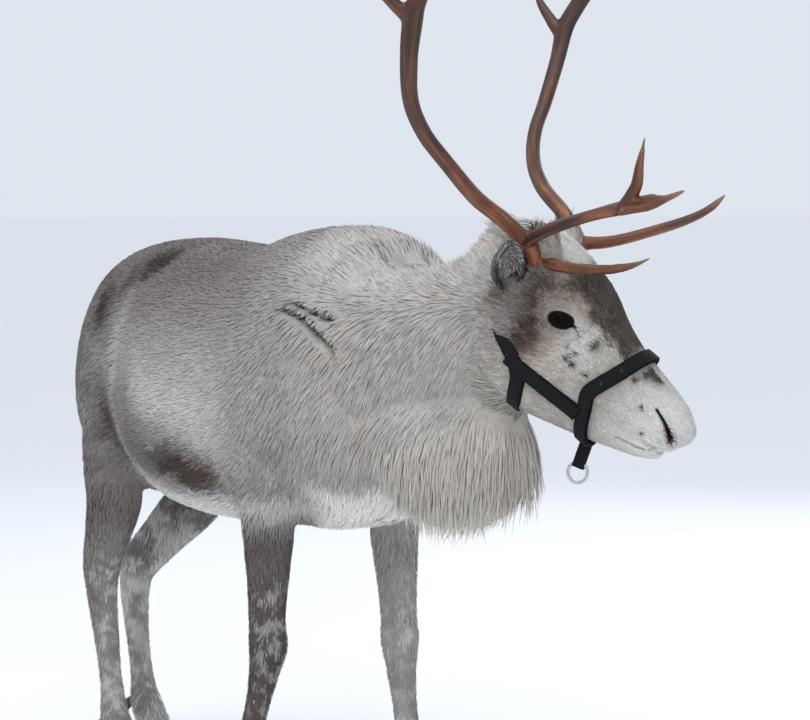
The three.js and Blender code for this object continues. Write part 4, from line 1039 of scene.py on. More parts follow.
def webbing_material():
    s = Sheet("black webbing", Roughness=0.75, Specular_IOR_Level=0.2)
    uv = s.node("ShaderNodeUVMap", dict(uv_map="weave"))
    ribs = s.node("ShaderNodeTexWave", dict(bands_direction="Y"),
                  {"Vector": uv, "Scale": 190.0, "Distortion": 1.5, "Detail": 1.0})
    warp = s.node("ShaderNodeTexWave", dict(bands_direction="X"),
                  {"Vector": uv, "Scale": 230.0, "Distortion": 0.8})
    fluff = s.noise(s.places, 420.0, 3.0)
    frost = s.ramp(s.noise(s.places, 70.0, 4.0), (0.68, 0.0), (0.76, 0.6))
    tone = s.mixed(fluff, srgb(6, 6, 8), srgb(24, 24, 29))
    tone = s.mixed(frost * fluff, tone, srgb(150, 154, 162))
    return s.plug(Base_Color=tone, Normal=s.bump(ribs * 0.5 + warp * 0.4 + fluff * 0.5, 0.7, 0.0008))


def fleece_material():
    s = Sheet("black fleece", Roughness=0.95, Specular_IOR_Level=0.1)
    fluff = s.noise(s.places, 700.0, 3.0)
    return s.plug(Base_Color=s.mixed(fluff, srgb(5, 5, 7), srgb(26, 26, 31)),
                  Normal=s.bump(fluff, 0.8, 0.0008))


def metal_material():
    s = Sheet("steel", Metallic=1.0)
    marks = s.noise(s.stretched(s.places, 1, 1, 6), 400.0, 4.0)
    tone = s.ramp(marks, (0.3, srgb(150, 152, 155)), (0.7, srgb(214, 216, 220)))
    return s.plug(Base_Color=tone, Roughness=0.18 + marks * 0.22, Normal=s.bump(marks, 0.1, 0.0004))


def floor_material():
    s = Sheet("pale floor", Roughness=0.9)
    soft = s.noise(s.places, 1.5, 2.0)
    return s.plug(Base_Color=s.mixed(soft, srgb(248, 249, 251), srgb(252, 252, 253)))


COAT, SKIN, ANTLER, HOOF = coat_material(), skin_material(), antler_material(), hoof_material()
EYE, WEBBING, FLEECE, STEEL = eye_material(), webbing_material(), fleece_material(), metal_material()


def give(mesh, name, values, kind="FLOAT_COLOR"):
    """Stores one value for each point: colours, vectors or numbers."""
    layer = mesh.attributes.new(name, kind, "POINT")
    values = np.asarray(values, np.float32)
    if kind == "FLOAT_COLOR":
        values = np.c_[values, np.ones(len(values), np.float32)]
        layer.data.foreach_set("color", np.ascontiguousarray(values, np.float32).ravel())
    elif kind == "FLOAT_VECTOR":
        layer.data.foreach_set("vector", values.ravel())
    else:
        layer.data.foreach_set("value", values)


# Skin
FLESH = [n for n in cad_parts
         if n.split("_")[0] in ("trunk", "forearm", "thigh", "cannon", "tail", "neck", "throat",
                                "head", "ear")]
ears = [ear_shell(-1), ear_shell(1)]
parts = [(body_points, body_faces), (fine_points, fine_faces), *sockets, *ears]
skin_points, skin_faces = joined([(p, [tuple(f) for f in faces]) for p, faces in parts])
skin = new_mesh("skin", skin_points, skin_faces, SKIN)
# The skin under the coat is a little darker than the hair: painted shade between the tufts
skin_tone = coat_colour(skin_points) * 0.96
for hand in (-1, 1):
    centre, out, front, up = eye_ways(hand)
    local = skin_points - centre
    rho = lid_reach(local @ front, local @ up)
    rim = smooth(1.15, 1.05, rho) * (local @ out > 5)
    corner = np.exp(-((((local @ front) - 27) / 8) ** 2 + (((local @ up) + 5) / 3) ** 2)) * (local @ out > 0)
    skin_tone += (DARK_SKIN_AND_SHADE * 0.6 - skin_tone) * np.maximum(rim, 0.85 * corner)[:, None]
    far, share = across_line(NOSTRILS[hand], skin_points)
    skin_tone += (PINK * 0.5 - skin_tone) * (smooth(0.2, 0.7, share) * np.exp(-((far / 10) ** 4)))[:, None]
    # Painted shade inside the nostril slit, over the pink skin
    skin_tone += (DARK_SKIN_AND_SHADE * 0.35 - skin_tone) * np.exp(-((far / (2.6 + 1.8 * share)) ** 4))[:, None]
    base, way, facing, across = ear_frame(hand)
    inner = (skin_points - base) @ facing
    in_ear = ((skin_points - base) @ way > 12) & (np.linalg.norm(skin_points - base - way * 60, axis=1) < 80)
    in_ear &= np.arange(len(skin_points)) >= len(skin_points) - sum(len(e[0]) for e in ears)
    skin_tone[in_ear] = skin_tone[in_ear] * 0.2 + GREY_BROWN * 0.7
far, share = across_line(MOUTH, skin_points)
# Dark lip edge along the mouth, with painted shade in the crease between the lips
skin_tone += (DARK_SKIN_AND_SHADE - skin_tone) * (0.6 * np.exp(-((far / 2.2) ** 2)))[:, None]
give(skin.data, "coat_colour", np.clip(skin_tone, 0.002, 1))
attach(skin, "root")
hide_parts(*FLESH)


# Coat: tufts along the lie of the hair
def unwrap(p, s):
    """Each place's spot on an unwrap of the skin: one strip for the trunk, neck, head and each leg."""
    strip = np.where(s["head"] > 0.5, 2, np.where(s["neck"] + s["mane"] > 0.5, 1, 0))
    strip = np.where(s["leg"] > 0.5, 3 + s["own"], strip)
    h = head_places(p)
    turn = np.arctan2(p[:, 2] - 780, p[:, 1])
    turn = np.where(strip == 1, np.arctan2(p[:, 2] - 800, p[:, 1] - 20), turn)
    turn = np.where(strip == 2, np.arctan2(h[:, 2] + 45, h[:, 1]), turn)
    length = (p[:, 0] + 850) / 1150
    length = np.where(strip == 1, (p[:, 0] - 100) / 420, length)
    length = np.where(strip == 2, (h[:, 0] + 60) / 480, length)
    for i, path in enumerate(leg_paths.values()):
        at = spline(path, s["along"])
        mine = strip == 3 + i
        turn = np.where(mine, np.arctan2(p[:, 1] - at[:, 1], p[:, 0] - at[:, 0]), turn)
        length = np.where(mine, s["along"], length)
    low = np.array([0.0, 0.4, 0.6, 0.8, 0.85, 0.9, 0.95])[strip]
    wide = np.array([0.4, 0.2, 0.2, 0.05, 0.05, 0.05, 0.05])[strip]
    return np.c_[low + wide * (0.03 + 0.94 * (turn / math.tau + 0.5)), 0.01 + 0.98 * np.clip(length, 0, 1)]


def tufts(name, roots, normals, lie, length, wide, stand, tones, spots, rings=3, fall=0.0, hug=0.02,
          thick=0.14, soft=0.9):
    """Solid tapered tufts: each is three-sided, sunk at the root and bent over to lie along the coat."""
    count = len(roots)
    level = smooth(0.35, 0.8, normals[:, 2]) * (lie[:, 2] < 0) * (roots[:, 2] > 600)
    lie = lie * np.stack([1 + 0 * level, 1 + 0 * level, 1 - level], -1)
    d = unit(lie - normals * (lie * normals).sum(1, keepdims=True) + 1e-6)
    sway = chance.normal(0, 0.16, count)[:, None]
    at = roots - normals * (1.0 + 0.02 * length)[:, None]
    columns, ups, sides = [at], [], []
    fall = fall * (1 - np.clip(normals[:, 2], 0, 1))
    for i in range(rings):
        s = (i + 0.35) / rings
        side = np.cross(normals, d)
        way = unit(d + normals * (stand * (1 - s) ** 2 * 3 - hug * s)[:, None] + side * sway * (s - 0.2)
                   - UP * (fall * s)[:, None])
        at = at + way * (length / rings)[:, None]
        columns.append(at)
        b = unit(np.cross(normals, way))
        sides.append(b)
        ups.append(np.cross(way, b))
    points, faced, reach = [], [], []
    profile = np.interp(np.arange(rings) / rings, [0, 0.25, 0.6, 0.85, 1], [0.75, 1.0, 0.8, 0.45, 0.1])
    for i in range(rings):
        w = (wide * profile[i])[:, None] * 0.5
        c = columns[i]
        points += [c - sides[i] * w, c + ups[i] * w * thick * 2, c + sides[i] * w]
        faced += [unit(normals * soft + (ups[i] * 0.5 - sides[i]) * (1 - soft)),
                  unit(normals * soft + ups[i] * (1 - soft)),
                  unit(normals * soft + (ups[i] * 0.5 + sides[i]) * (1 - soft))]
        reach += [i / rings] * 3
    points.append(columns[-1])
    faced.append(unit(normals * soft + ups[-1] * (1 - soft)))
    reach.append(1.0)
    size = len(points)
    points, faced = np.stack(points, 1), np.stack(faced, 1)
    reach = np.array(reach)
    faces = [(0, 1, 2)]
    for i in range(rings - 1):
        for k in range(3):
            a, b = i * 3 + k, i * 3 + (k + 1) % 3
            faces += [(a, a + 3, b + 3), (a, b + 3, b)]
    for k in range(3):
        a, b = (rings - 1) * 3 + k, (rings - 1) * 3 + (k + 1) % 3
        faces.append((a, size - 1, b))
    faces = np.array(faces)
    light = 1 + chance.normal(0, 0.06, count)
    # Each tuft is darker at the root and lighter at the tip: painted shade deep in the coat at the root, and
    # frosted tips at the end
    tint = tones[:, None] * (light[:, None] * (0.95 + 0.09 * reach)[None])[..., None]
    patch = np.array([[-1, 0, 1][k % 3] for k in range(size - 1)] + [0]) * 0.0014
    flat = spots[:, None] + np.stack([patch, (reach - 0.5) * 0.003], -1)[None]
    fibre = np.stack([patch / 0.0014 * wide[:, None] * 0.0005, reach * length[:, None] * 0.00006,
                      0 * reach + 0 * wide[:, None]], -1)
    fibre = fibre + chance.random((count, 1, 3))
    most = 190000 // len(faces)
    pieces = max(1, math.ceil(count / most))
    order = np.argsort(roots @ np.array([1, 0.4, 0.2]), kind="stable")
    for part, chosen in enumerate(np.array_split(order, pieces)):
        own = (faces[None] + (np.arange(len(chosen)) * size)[:, None, None]).reshape(-1, 3)
        label = name if pieces == 1 else f"{name}_{part + 1}"
        piece = new_mesh(label, points[chosen].reshape(-1, 3), own, COAT)
        piece.data.normals_split_custom_set_from_vertices(faced[chosen].reshape(-1, 3))
        give(piece.data, "coat_colour", np.clip(tint[chosen].reshape(-1, 3), 0.002, 1))
        give(piece.data, "fibre", fibre[chosen].reshape(-1, 3), "FLOAT_VECTOR")
        layer = piece.data.uv_layers.new(name="OFBake")
        layer.data.foreach_set("uv", flat[chosen].reshape(-1, 2)[own.ravel()].astype(np.float32).ravel())
        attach(piece, "root")
    return pieces


def sites(points, faces, per_face, ways=None):
    """Places spread over faces, with their normals."""
    corners = points[faces]
    normals = (normals_of(points, faces) if ways is None else ways)[faces]
    times = np.floor(per_face + chance.random(len(faces))).astype(int)
    chosen = np.repeat(np.arange(len(faces)), times)
    u, v = chance.random((2, len(chosen), 1))
    if faces.shape[1] == 3:
        low = u + v > 1
        u, v = np.where(low, 1 - u, u), np.where(low, 1 - v, v)
        blend = lambda c: c[:, 0] * (1 - u - v) + c[:, 1] * u + c[:, 2] * v
    else:
        blend = lambda c: (c[:, 0] * (1 - u) + c[:, 1] * u) * (1 - v) + (c[:, 3] * (1 - u) + c[:, 2] * u) * v
    return blend(corners[chosen]), unit(blend(normals[chosen]))


def scattered(p, reach):
    """Places moved about a little, so markings end in a hairy edge."""
    return p + chance.normal(0, 1, p.shape) * reach


def lie_of(p, s):
    """The way the hair lies at each place."""
    x, y, z = p.T
    side = np.sign(y)
    trunk_lie = np.stack([-1 + 0 * x, 0 * y,
                          -0.12 - 0.3 * smooth(-440, -560, x) - 1.5 * smooth(-500, -760, x)
                          - 0.15 * smooth(700, 600, z)], -1)
    trunk_lie[:, 2] += 0.08 * smooth(940, 1000, z) + 0.25 * smooth(600, 530, z)
    shoulder = bump_at(p[:, [0, 2]], (85, 720), (95, 170))[:, None]
    trunk_lie = unit(trunk_lie) + shoulder * np.array([0.45, 0, -0.9])
    trunk_lie[:, 2] += 0.6 * smooth(20, 110, x) * smooth(890, 950, z)
    neck_lie = np.stack([-0.75 + 0 * x, side * 0.05,
                         0.45 - 1.2 * smooth(955, 870, z) - 0.3 * smooth(870, 780, z)], -1)
    mane_lie = np.stack([-0.25 + 0 * x, side * 0.02, -1 + 0 * z], -1)
    leg_lie = np.stack([-0.12 + 0 * x, 0 * y, -1 + 0 * z], -1)
    h = head_places(p)
    low = smooth(20, -90, h[:, 2])
    head_lie = (head_way(-1, 0, 0)[None]
                + CROWN[None] * (0.12 - 0.7 * low * smooth(260, 120, h[:, 0]))[:, None])
    head_lie = head_lie + LEFT[None] * (np.sign(h[:, 1]) * 0.25 * smooth(200, 60, h[:, 0]))[:, None]
    body = 1 - s["head"] - s["neck"] - s["mane"] - s["leg"]
    total = (trunk_lie * np.clip(body, 0, 1)[:, None] + unit(neck_lie) * s["neck"][:, None]
             + mane_lie * s["mane"][:, None])
    total += leg_lie * s["leg"][:, None] + unit(head_lie) * s["head"][:, None]
    total[s["tail"] > 0.3] = [-0.05, 0, -1]
    swirl = np.stack([clouds(p, 90, 30 + k, 2) for k in range(3)], -1)
    loose = chance.normal(0, 0.07, (len(p), 3))
    return unit(total) + swirl * (0.2 - 0.1 * s["head"])[:, None] + loose


def clear_of_halter(p, reach=9.0):
    """True where no halter band lies over the place."""
    free = np.ones(len(p), bool)
    bands = [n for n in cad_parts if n.startswith("halter")]
    trees = [BVHTree.FromPolygons([v.co for v in m.vertices], [q.vertices for q in m.polygons])
             for m in (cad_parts[n].data for n in bands)]
    h = head_places(p)
    hidden = (h[:, 0] < 75) & (h[:, 2] > -78)
    for i in np.nonzero((p[:, 0] > 300) & (p[:, 2] > 540) & ~hidden)[0]:
        place = Vector(to_row(p[i]))
        for tree in trees:
            if tree.find_nearest(place, reach * 0.001)[0] is not None:
                free[i] = False
                break
    return free


# Body coat: a close layer of fine tufts, with longer clumps over the shoulder, neck and rump
near_faces = body_points[body_faces].mean(1)
near_faces = smooth(-130, -10, (near_faces - HEAD_BASE) @ HEAD_BASE_WAY) * (near_faces[:, 0] > 200)


def body_sites(per_face, more=0.0):
    p, n = sites(unpressed, body_faces, per_face + more * near_faces, body_ways)
    keep = fold_depth(p)[1] < 0.6
    close = (p - HEAD_BASE) @ HEAD_BASE_WAY > -40
    keep[close] &= showing(head_tree, p[close])
    p, n = p[keep], n[keep]
    free = clear_of_halter(p, 3.0)
    p, n = p[free], n[free]
    return p, n, shares(p)


def tone_of(p, s, lie, length, reach):
    """Colour of the coat where the middle of each tuft shows."""
    return coat_colour(scattered(p + unit(lie) * (0.45 * length)[:, None], reach), s)


def grizzled(tone, spread):
    """Uneven tufts, with some pale ones among the dark."""
    dark = np.clip(1 - tone[:, 1] / 0.3, 0, 1) * (chance.random(len(tone)) < 0.2)
    return tone * (1 + chance.normal(0, spread, len(tone)) + 0.9 * dark)[:, None]


def chosen_of(keep, *things):
    return [{k: v[keep] for k, v in t.items()} if isinstance(t, dict) else t[keep] for t in things]


p, n, s = body_sites(2.1, 2.4)
p, n, s = chosen_of((s["mane"] < 0.6) & (s["leg"] < 0.5), p, n, s)
belly = smooth(640, 540, p[:, 2])
chest = smooth(60, 120, p[:, 0]) * smooth(650, 600, p[:, 2])
near_head = smooth(-70, 0, (p - HEAD_BASE) @ HEAD_BASE_WAY)
length = (25 + 8 * belly + 22 * s["neck"] * (1 - near_head) * (1 - chest) + 16 * s["tail"]
          + 4 * clouds(p, 70, 40, 2))
length *= np.clip(chance.normal(1, 0.16, len(p)), 0.6, 1.5)
depth = 3.9 + 1.6 * s["neck"] + 2 * belly
lie = lie_of(p, s)
sunk = 0.5 * np.clip(fold_depth(p)[0], 0, 9)
raised = np.minimum(fold_depth(p)[0], 0)
stand = (depth * chance.uniform(0.6, 1.0, len(p)) + 0.9 * sunk) / length
length = short_of_folds(p, lie, length)
tufts("coat_body", p - n * (sunk + raised)[:, None], n, lie, length,
      (3.9 + chance.normal(0, 0.5, len(p))) * (1 - 0.35 * near_head), stand,
      tone_of(p, s, lie, length, 5), unwrap(p, s), rings=2, fall=0.03 + 0.3 * s["neck"] + 0.1 * belly,
      thick=0.09)

p, n, s = body_sites(0.4)
ruff = np.maximum(s["neck"], smooth(-160, 60, p[:, 0]) * smooth(560, 640, p[:, 2]))
keep = ((s["mane"] < 0.6) & (s["leg"] < 0.3) & (fold_depth(p)[2] < 0.15)
        & (chance.random(len(p)) < 0.1 + 0.8 * ruff))
p, n, s = chosen_of(keep & ((p - HEAD_BASE) @ HEAD_BASE_WAY < -10), p, n, s)
chest = smooth(60, 120, p[:, 0]) * smooth(650, 600, p[:, 2])
length = (36 + 22 * s["neck"] * (1 - chest)) * np.clip(chance.normal(1, 0.18, len(p)), 0.6, 1.5)
lie = lie_of(p, s)
stand = (4.6 + 1.6 * s["neck"]) / length * chance.uniform(0.5, 1.0, len(p))
length = short_of_folds(p, lie, length)
tufts("coat_clumps", p, n, lie, length, 2.7 + chance.normal(0, 0.5, len(p)), stand,
      tone_of(p, s, lie, length, 5) * 1.02,
      unwrap(p, s), rings=3, fall=0.15 + 0.35 * s["neck"])

# Legs: short, close tufts, longer round the hooves
p, n = sites(body_points, body_faces, 1.85)
s = shares(p)
keep = (s["leg"] >= 0.35) & (p[:, 2] > 30)
p, n = p[keep], n[keep]
s = shares(p)
low = smooth(150, 70, p[:, 2])
length = 13 + 15 * smooth(330, 560, p[:, 2]) + 12 * low + chance.normal(0, 1.5, len(p))
stand = (3.4 + 1.5 * smooth(380, 560, p[:, 2]) + 2 * low) / length * chance.uniform(0.55, 1.0, len(p))
tufts("coat_legs", p, n, lie_of(p, s), length,
      3.2 + 1.0 * smooth(380, 560, p[:, 2]) + chance.normal(0, 0.4, len(p)), stand,
      tone_of(p, s, lie_of(p, s), length, 3), unwrap(p, s), rings=2, fall=0.2)

# Mane: long locks in layers
p, n, s = body_sites(2.8)
p, n, s = chosen_of(s["mane"] > 0.2, p, n, s)
drop = smooth(760, 600, p[:, 2])
length = (50 + 48 * drop) * (0.4 + 0.6 * s["mane"]) * np.clip(chance.normal(1, 0.2, len(p)), 0.5, 1.5)
tufts("coat_mane", p, n, lie_of(p, s), length, 3.4 + chance.normal(0, 0.5, len(p)),
      (5 + 2 * (1 - drop)) * (0.4 + 0.6 * s["mane"]) / length * chance.uniform(0.2, 1.1, len(p)),
      coat_colour(scattered(p, 10), s), unwrap(p, s),
      rings=4, fall=0.5 + 0.6 * chance.random(len(p)), hug=0.07, thick=0.1, soft=0.92)

# Head: the smallest tufts, longer on cheeks and between the antlers
p, n = sites(head_points, head_faces, 1.3)
keep = (p - HEAD_BASE) @ HEAD_BASE_WAY > -60
rim = (p - HEAD_BASE) @ HEAD_BASE_WAY < 70
keep[rim] &= showing(skin_tree, p[rim])
for hand, (points, faces) in zip((-1, 1), sockets):
    centre, out, front, up = eye_ways(hand)
    local = p - centre
    keep &= ~((np.hypot((local @ front) / 40, (local @ up) / 26) < 1.1) & (local @ out > 0))
    more, more_n = sites(points, np.array(faces), 2.2)
    local = more - centre
    rho = lid_reach(local @ front, local @ up)
    near = rho > 1.14
    tear, _ = nearest_on(np.array([(22, -5, 0), (30, -10, 0), (35, -20, 0)], float),
                         np.c_[local @ front, local @ up, 0 * rho])
    near &= tear > 3.4
    p, n, keep = (np.vstack([p, more[near]]), np.vstack([n, more_n[near]]),
                  np.r_[keep, np.ones(near.sum(), bool)])
h = head_places(p)
for hand in (-1, 1):
    far, share = across_line(NOSTRILS[hand], p)
    keep &= far > 2.6 + 5.5 * share**2
keep &= across_line(MOUTH, p)[0] > 2.6
eye_far = np.minimum(*(np.linalg.norm(p - eye_ways(hand)[0], axis=1) for hand in (-1, 1)))
p, n, h, eye_far = p[keep], n[keep], h[keep], eye_far[keep]
s = shares(p)
cheek = smooth(-20, -80, h[:, 2]) * smooth(250, 120, h[:, 0])
poll = smooth(80, 20, h[:, 0]) * smooth(10, 50, h[:, 2])
muzzle = smooth(250, 330, h[:, 0])
back = smooth(70, 25, h[:, 0])
length = 11 + 10 * cheek + 22 * poll - 4 * muzzle + 14 * back - 5 * smooth(48, 28, eye_far)
length *= np.clip(chance.normal(1, 0.15, len(p)), 0.6, 1.4)
stand = (2.3 + 1 * cheek + 7 * poll + 3 * back) / length * chance.uniform(0.55, 1.0, len(p))
free = clear_of_halter(p, 2.5)
p, n, s, length, stand, muzzle = (
    v[free] if not isinstance(v, dict) else {k: w[free] for k, w in v.items()}
    for v in (p, n, s, length, stand, muzzle))
tufts("coat_head", p, n, lie_of(p, s), length, 2.3 - 0.7 * muzzle + 0.05 * length, stand,
      grizzled(tone_of(p, s, lie_of(p, s), length, 1.8), 0.1), unwrap(p, s), rings=2)

# Ears: short outside, long pale hair across the cup
for hand, label in ((-1, "right"), (1, "left")):
    points, faces = ear_shell(hand)
    base, way, facing, across = ear_frame(hand)
    points, faces = np.array(points), np.array(faces)
    p, n = sites(points, faces, 3.6)
    rise = (p - base) @ way / EAR_LENGTH
    within = (n @ facing > 0.25)
    # Hair inside the cup is dimmed, with grey-brown tufts among it: painted shade inside the ear
    inside = np.where(chance.random(len(p))[:, None] < 0.35, GREY_BROWN, PALE * 0.8)
    tone = np.where(within[:, None], inside, WARM_GREY * 0.9) * (1 + 0.15 * clouds(p, 18, 60, 2))[:, None]
    edge = np.abs((p - base) @ across) > 25 * np.sin(np.clip(rise, 0, 1) * math.pi) ** 0.5
    tone = np.where((edge & within)[:, None], DARK_FACE if hand < 0 else GREY_BROWN, tone)
    lie = (way[None] + across[None] * (np.sign((p - base) @ across) * np.where(within, -0.5, 0.1))[:, None]
           + facing[None] * np.where(within, 0.3, 0)[:, None])
    lie = lie + chance.normal(0, 0.06, (len(p), 3))
    length = (np.where(within, 23, 12) * (1 if hand < 0 else 0.7)
              * np.clip(chance.normal(1, 0.2, len(p)), 0.5, 1.5) * smooth(1.15, 0.8, rise))
    length = np.where(edge & within, length * 0.6, length)
    keep = (rise > 0.02) & (length > 3)
    uv = np.c_[0.6 + 0.19 * (0.5 + hand * 0.2 + (p - base) @ across / 200), 0.02 + 0.1 * rise]
    tufts(f"coat_ear_{label}", p[keep], n[keep], lie[keep], length[keep], np.where(within, 1.3, 1.9)[keep],
          (np.where(within, 9.0, 3.0) / length * chance.uniform(0.2, 1, len(p)))[keep], tone[keep],
          uv[keep], rings=2)


# Antlers
ANTLERS = {
    "right": dict(
        hand=-1,
        beam=[((-244, 50, 236), 15, 15), ((-248, 78, 272), 14, 14), ((-276, 118, 312), 13, 13),
              ((-308, 155, 347), 13, 12),
              ((-335, 200, 396), 12.5, 11.5), ((-356, 240, 440), 12.5, 11), ((-360, 285, 488), 13, 11),
              ((-350, 318, 546), 14, 11),
              ((-338, 335, 597), 16, 11), ((-325, 343, 636), 15, 11), ((-290, 350, 690), 14, 10),
              ((-240, 348, 750), 14, 9),
              ((-185, 332, 806), 16, 8), ((-130, 305, 848), 12, 7), ((-85, 275, 876), 4, 3)],
        brow=[((-240, 54, 250), 11, 11), ((-205, 62, 240), 10, 9), ((-168, 60, 236), 9, 8),
              ((-128, 52, 235), 9, 7),
              ((-92, 44, 241), 7, 5), ((-64, 38, 253), 2, 2)],
        bez=[((-250, 86, 280), 12, 12), ((-205, 100, 297), 12, 10), ((-150, 120, 313), 13, 9),
             ((-95, 140, 326), 17, 8),
             ((-45, 156, 335), 20, 7), ((-8, 166, 341), 13, 6), ((28, 172, 355), 3, 3)],
        bez_tine=[((-76, 148, 328), 10, 7), ((-50, 162, 360), 10, 7), ((-40, 174, 394), 7, 6),
                  ((-30, 182, 434), 2, 2)],
        back_tine=[((-340, 336, 604), 12, 9), ((-368, 350, 634), 10, 8), ((-394, 362, 664), 7, 6),
                   ((-412, 372, 700), 2, 2)],
        crown_tine=[((-225, 344, 764), 11, 8), ((-228, 352, 808), 9, 7), ((-214, 352, 852), 6, 5),
                    ((-196, 346, 888), 2, 2)],
    ),
    "left": dict(
        hand=1,
        beam=[((-222, 50, 240), 15, 15), ((-218, 64, 276), 14, 14), ((-250, 100, 318), 13, 13),
              ((-304, 148, 362), 13, 12),
              ((-336, 195, 404), 12.5, 11.5), ((-350, 240, 452), 12.5, 11), ((-348, 288, 508), 13, 11),
              ((-341, 328, 578), 14, 11),
              ((-334, 344, 628), 16, 11), ((-318, 352, 662), 15, 11), ((-285, 356, 710), 14, 10),
              ((-238, 352, 765), 14, 9),
              ((-182, 336, 816), 16, 8), ((-126, 308, 856), 12, 7), ((-80, 280, 882), 4, 3)],
        bez=[((-218, 64, 274), 12, 12), ((-180, 76, 274), 11, 10), ((-140, 92, 282), 11, 9),
             ((-70, 132, 305), 12, 8),
             ((-30, 158, 326), 10, 6), ((-5, 172, 350), 3, 2)],
        back_tine=[((-338, 342, 616), 12, 9), ((-362, 352, 646), 10, 8), ((-384, 362, 676), 7, 6),
                   ((-400, 370, 712), 2, 2)],
        crown_tine=[((-228, 350, 776), 11, 8), ((-232, 356, 818), 9, 7), ((-220, 356, 862), 6, 5),
                    ((-202, 350, 898), 2, 2)],
    ),
}
for label, antler in ANTLERS.items():
    shells, paths = [], []
    for branch, keys in antler.items():
        if branch == "hand":
            continue
        keys = [(NOSE_TIP + LEVEL * a + LEFT * (antler["hand"] * b) + UP * c, wide, thin, thin)
                for (a, b, c), wide, thin in keys]
        shells.append(loft(keys, rings=110 if branch == "beam" else 50, segments=20, side=LEVEL + UP * 0.4,
                           tip=0.5))
        paths.append(spline([k[0] for k in keys], np.linspace(0, 1, 60)))
        if branch == "beam":
            root = keys[0][0] + unit(keys[1][0] - keys[0][0]) * 10
            shells.append(ball(root, [18.5, 18.5, 8], [LEVEL, LEFT, unit(keys[1][0] - keys[0][0])]))
    points, faces = fused(shells, 2.6)
    points = relaxed(points, faces, 6)
    best = np.full(len(points), 1e9)
    grain = np.zeros((len(points), 3))
    start = 0.0
    for path in paths:
        far, share = nearest_on(path, points)
        at = spline(path, share)
        lengths = np.r_[0, np.cumsum(np.linalg.norm(np.diff(path, axis=0), axis=1))]
        gone = np.interp(share, np.linspace(0, 1, len(path)), lengths)
        closer = far < best
        best[closer] = far[closer]
        grain[closer] = np.c_[(points - at)[:, 0], (points - at)[:, 1], gone + start][closer]
        start += 300
    n = normals_of(points, faces)
    crust = smooth(75, 15, np.linalg.norm(points - shells[1][0].mean(0), axis=1))
    points += (n * (crust * 1.6 * clouds(points, 7, 3, 2)
                    + 0.7 * clouds(grain * [1, 1, 0.12], 7, 8, 2))[:, None])
    piece = new_mesh(f"antler_{label}", points, faces, ANTLER)
    tips = np.zeros(len(points))
    for path in paths:
        tips = np.maximum(tips, smooth(46, 6, np.linalg.norm(points - path[-1], axis=1)))
    give(piece.data, "grain", grain * 0.001, "FLOAT_VECTOR")
    give(piece.data, "wear", tips * 0.35, "FLOAT")
    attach(piece, "root")
    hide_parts(*[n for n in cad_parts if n.startswith("antler") and n.endswith(label)])

# Hooves
for name, leg in LEGS.items():
    shells = []
    for inner in (-1, 1):
        swing = math.radians(leg["turn"] - 7 * inner)
        way = np.array([math.cos(swing), math.sin(swing), 0])
        off = np.array([-math.sin(swing), math.cos(swing), 0]) * -inner
        middle = np.array([*leg["foot"], 0]) + off * CLAW_WIDTH * 0.56
        keys = []
        for t, lift, curl, wide, rise, drop in ((-0.44, 16, -2, 9, 14, 18), (-0.32, 20, 1, 17, 24, 24),
                                                (-0.08, 21, 3, 20, CLAW_HEIGHT - 20, 26),
                                                (0.16, 18, 3, 20, 26, 24), (0.38, 12, 0, 16, 16, 18),
                                                (0.52, 7, -6, 9, 7, 12)):
            keys.append((middle + way * (t * CLAW_LENGTH) + off * curl + UP * lift, wide, rise, drop))
        points, faces = loft(keys, rings=36, segments=40, side=-off, power=2.3)
        height = points[:, 2]
        points = points + off[None] * (0.5 * np.sin(height / 2.6) * smooth(2, 8, height))[:, None]
        points[:, 2] = np.where(height < 3,
                                3 * np.exp((np.minimum(height, 3) - 3) / 3) - 3 * math.exp(-3), height)
        points[:, 2] = np.maximum(points[:, 2] - points[:, 2].min(), 0)
        points[:, 2] = np.where(points[:, 2] < 0.6, 0, points[:, 2])
        shells.append((points, faces))
        swing = math.radians(leg["turn"])
        way = np.array([math.cos(swing), math.sin(swing), 0])
        off = np.array([-math.sin(swing), math.cos(swing), 0]) * -inner
        start = np.array(leg["keys"][10][0], float) - way * 20 + off * 17
        end = start - way * 26 + off * 6
        dew = [
            ([start[0], start[1], 88], 9, 9, 9), ([end[0], end[1], 66], 12, 11, 11),
            ([end[0] + way[0] * 4, end[1] + way[1] * 4, 38], 11, 9, 9),
            ([end[0] + way[0] * 14, end[1] + way[1] * 14, 20], 5, 4, 4),
        ]
        shells.append(loft(dew, rings=20, segments=20, side=off))
    piece = new_mesh(f"hooves_{name}", *joined(shells), HOOF)
    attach(piece, "root")
    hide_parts(*[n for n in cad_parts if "claw" in n and n.endswith(name)])

# Eyes
for hand, label in ((-1, "right"), (1, "left")):
    centre, out, front, up = eye_ways(hand)
    points, faces = ball(centre, [EYE_RADIUS - 0.6] * 3, [front, up, out], rings=48, segments=64)
    local = points - centre
    bulge = smooth(11, 4, np.hypot(local @ front, local @ up)) * (local @ out > 0)
    points = points + out * (bulge * 0.8)[:, None]
    if np.linalg.det([front, up, out]) < 0:
        faces = [f[::-1] for f in faces]
    piece = new_mesh(f"eyeball_{label}", points, faces, EYE)
    give(piece.data, "grain",
         np.c_[np.arctan2(local @ up, local @ front) * 0.6, np.hypot(local @ front, local @ up) * 0.02,
               0 * local[:, 0]], "FLOAT_VECTOR")
    give(piece.data, "wear", smooth(6.0, 8.5, np.hypot((local @ front) / 1.5, local @ up)), "FLOAT")
    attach(piece, "root")
    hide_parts(f"eye_{label}")

# Halter
solids = [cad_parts[n].data for n in ("head", "neck")]
under = joined([(from_row([v.co for v in m.vertices]), [tuple(f.vertices) for f in m.polygons])
                for m in solids])
under_tree = tree_of(*under)


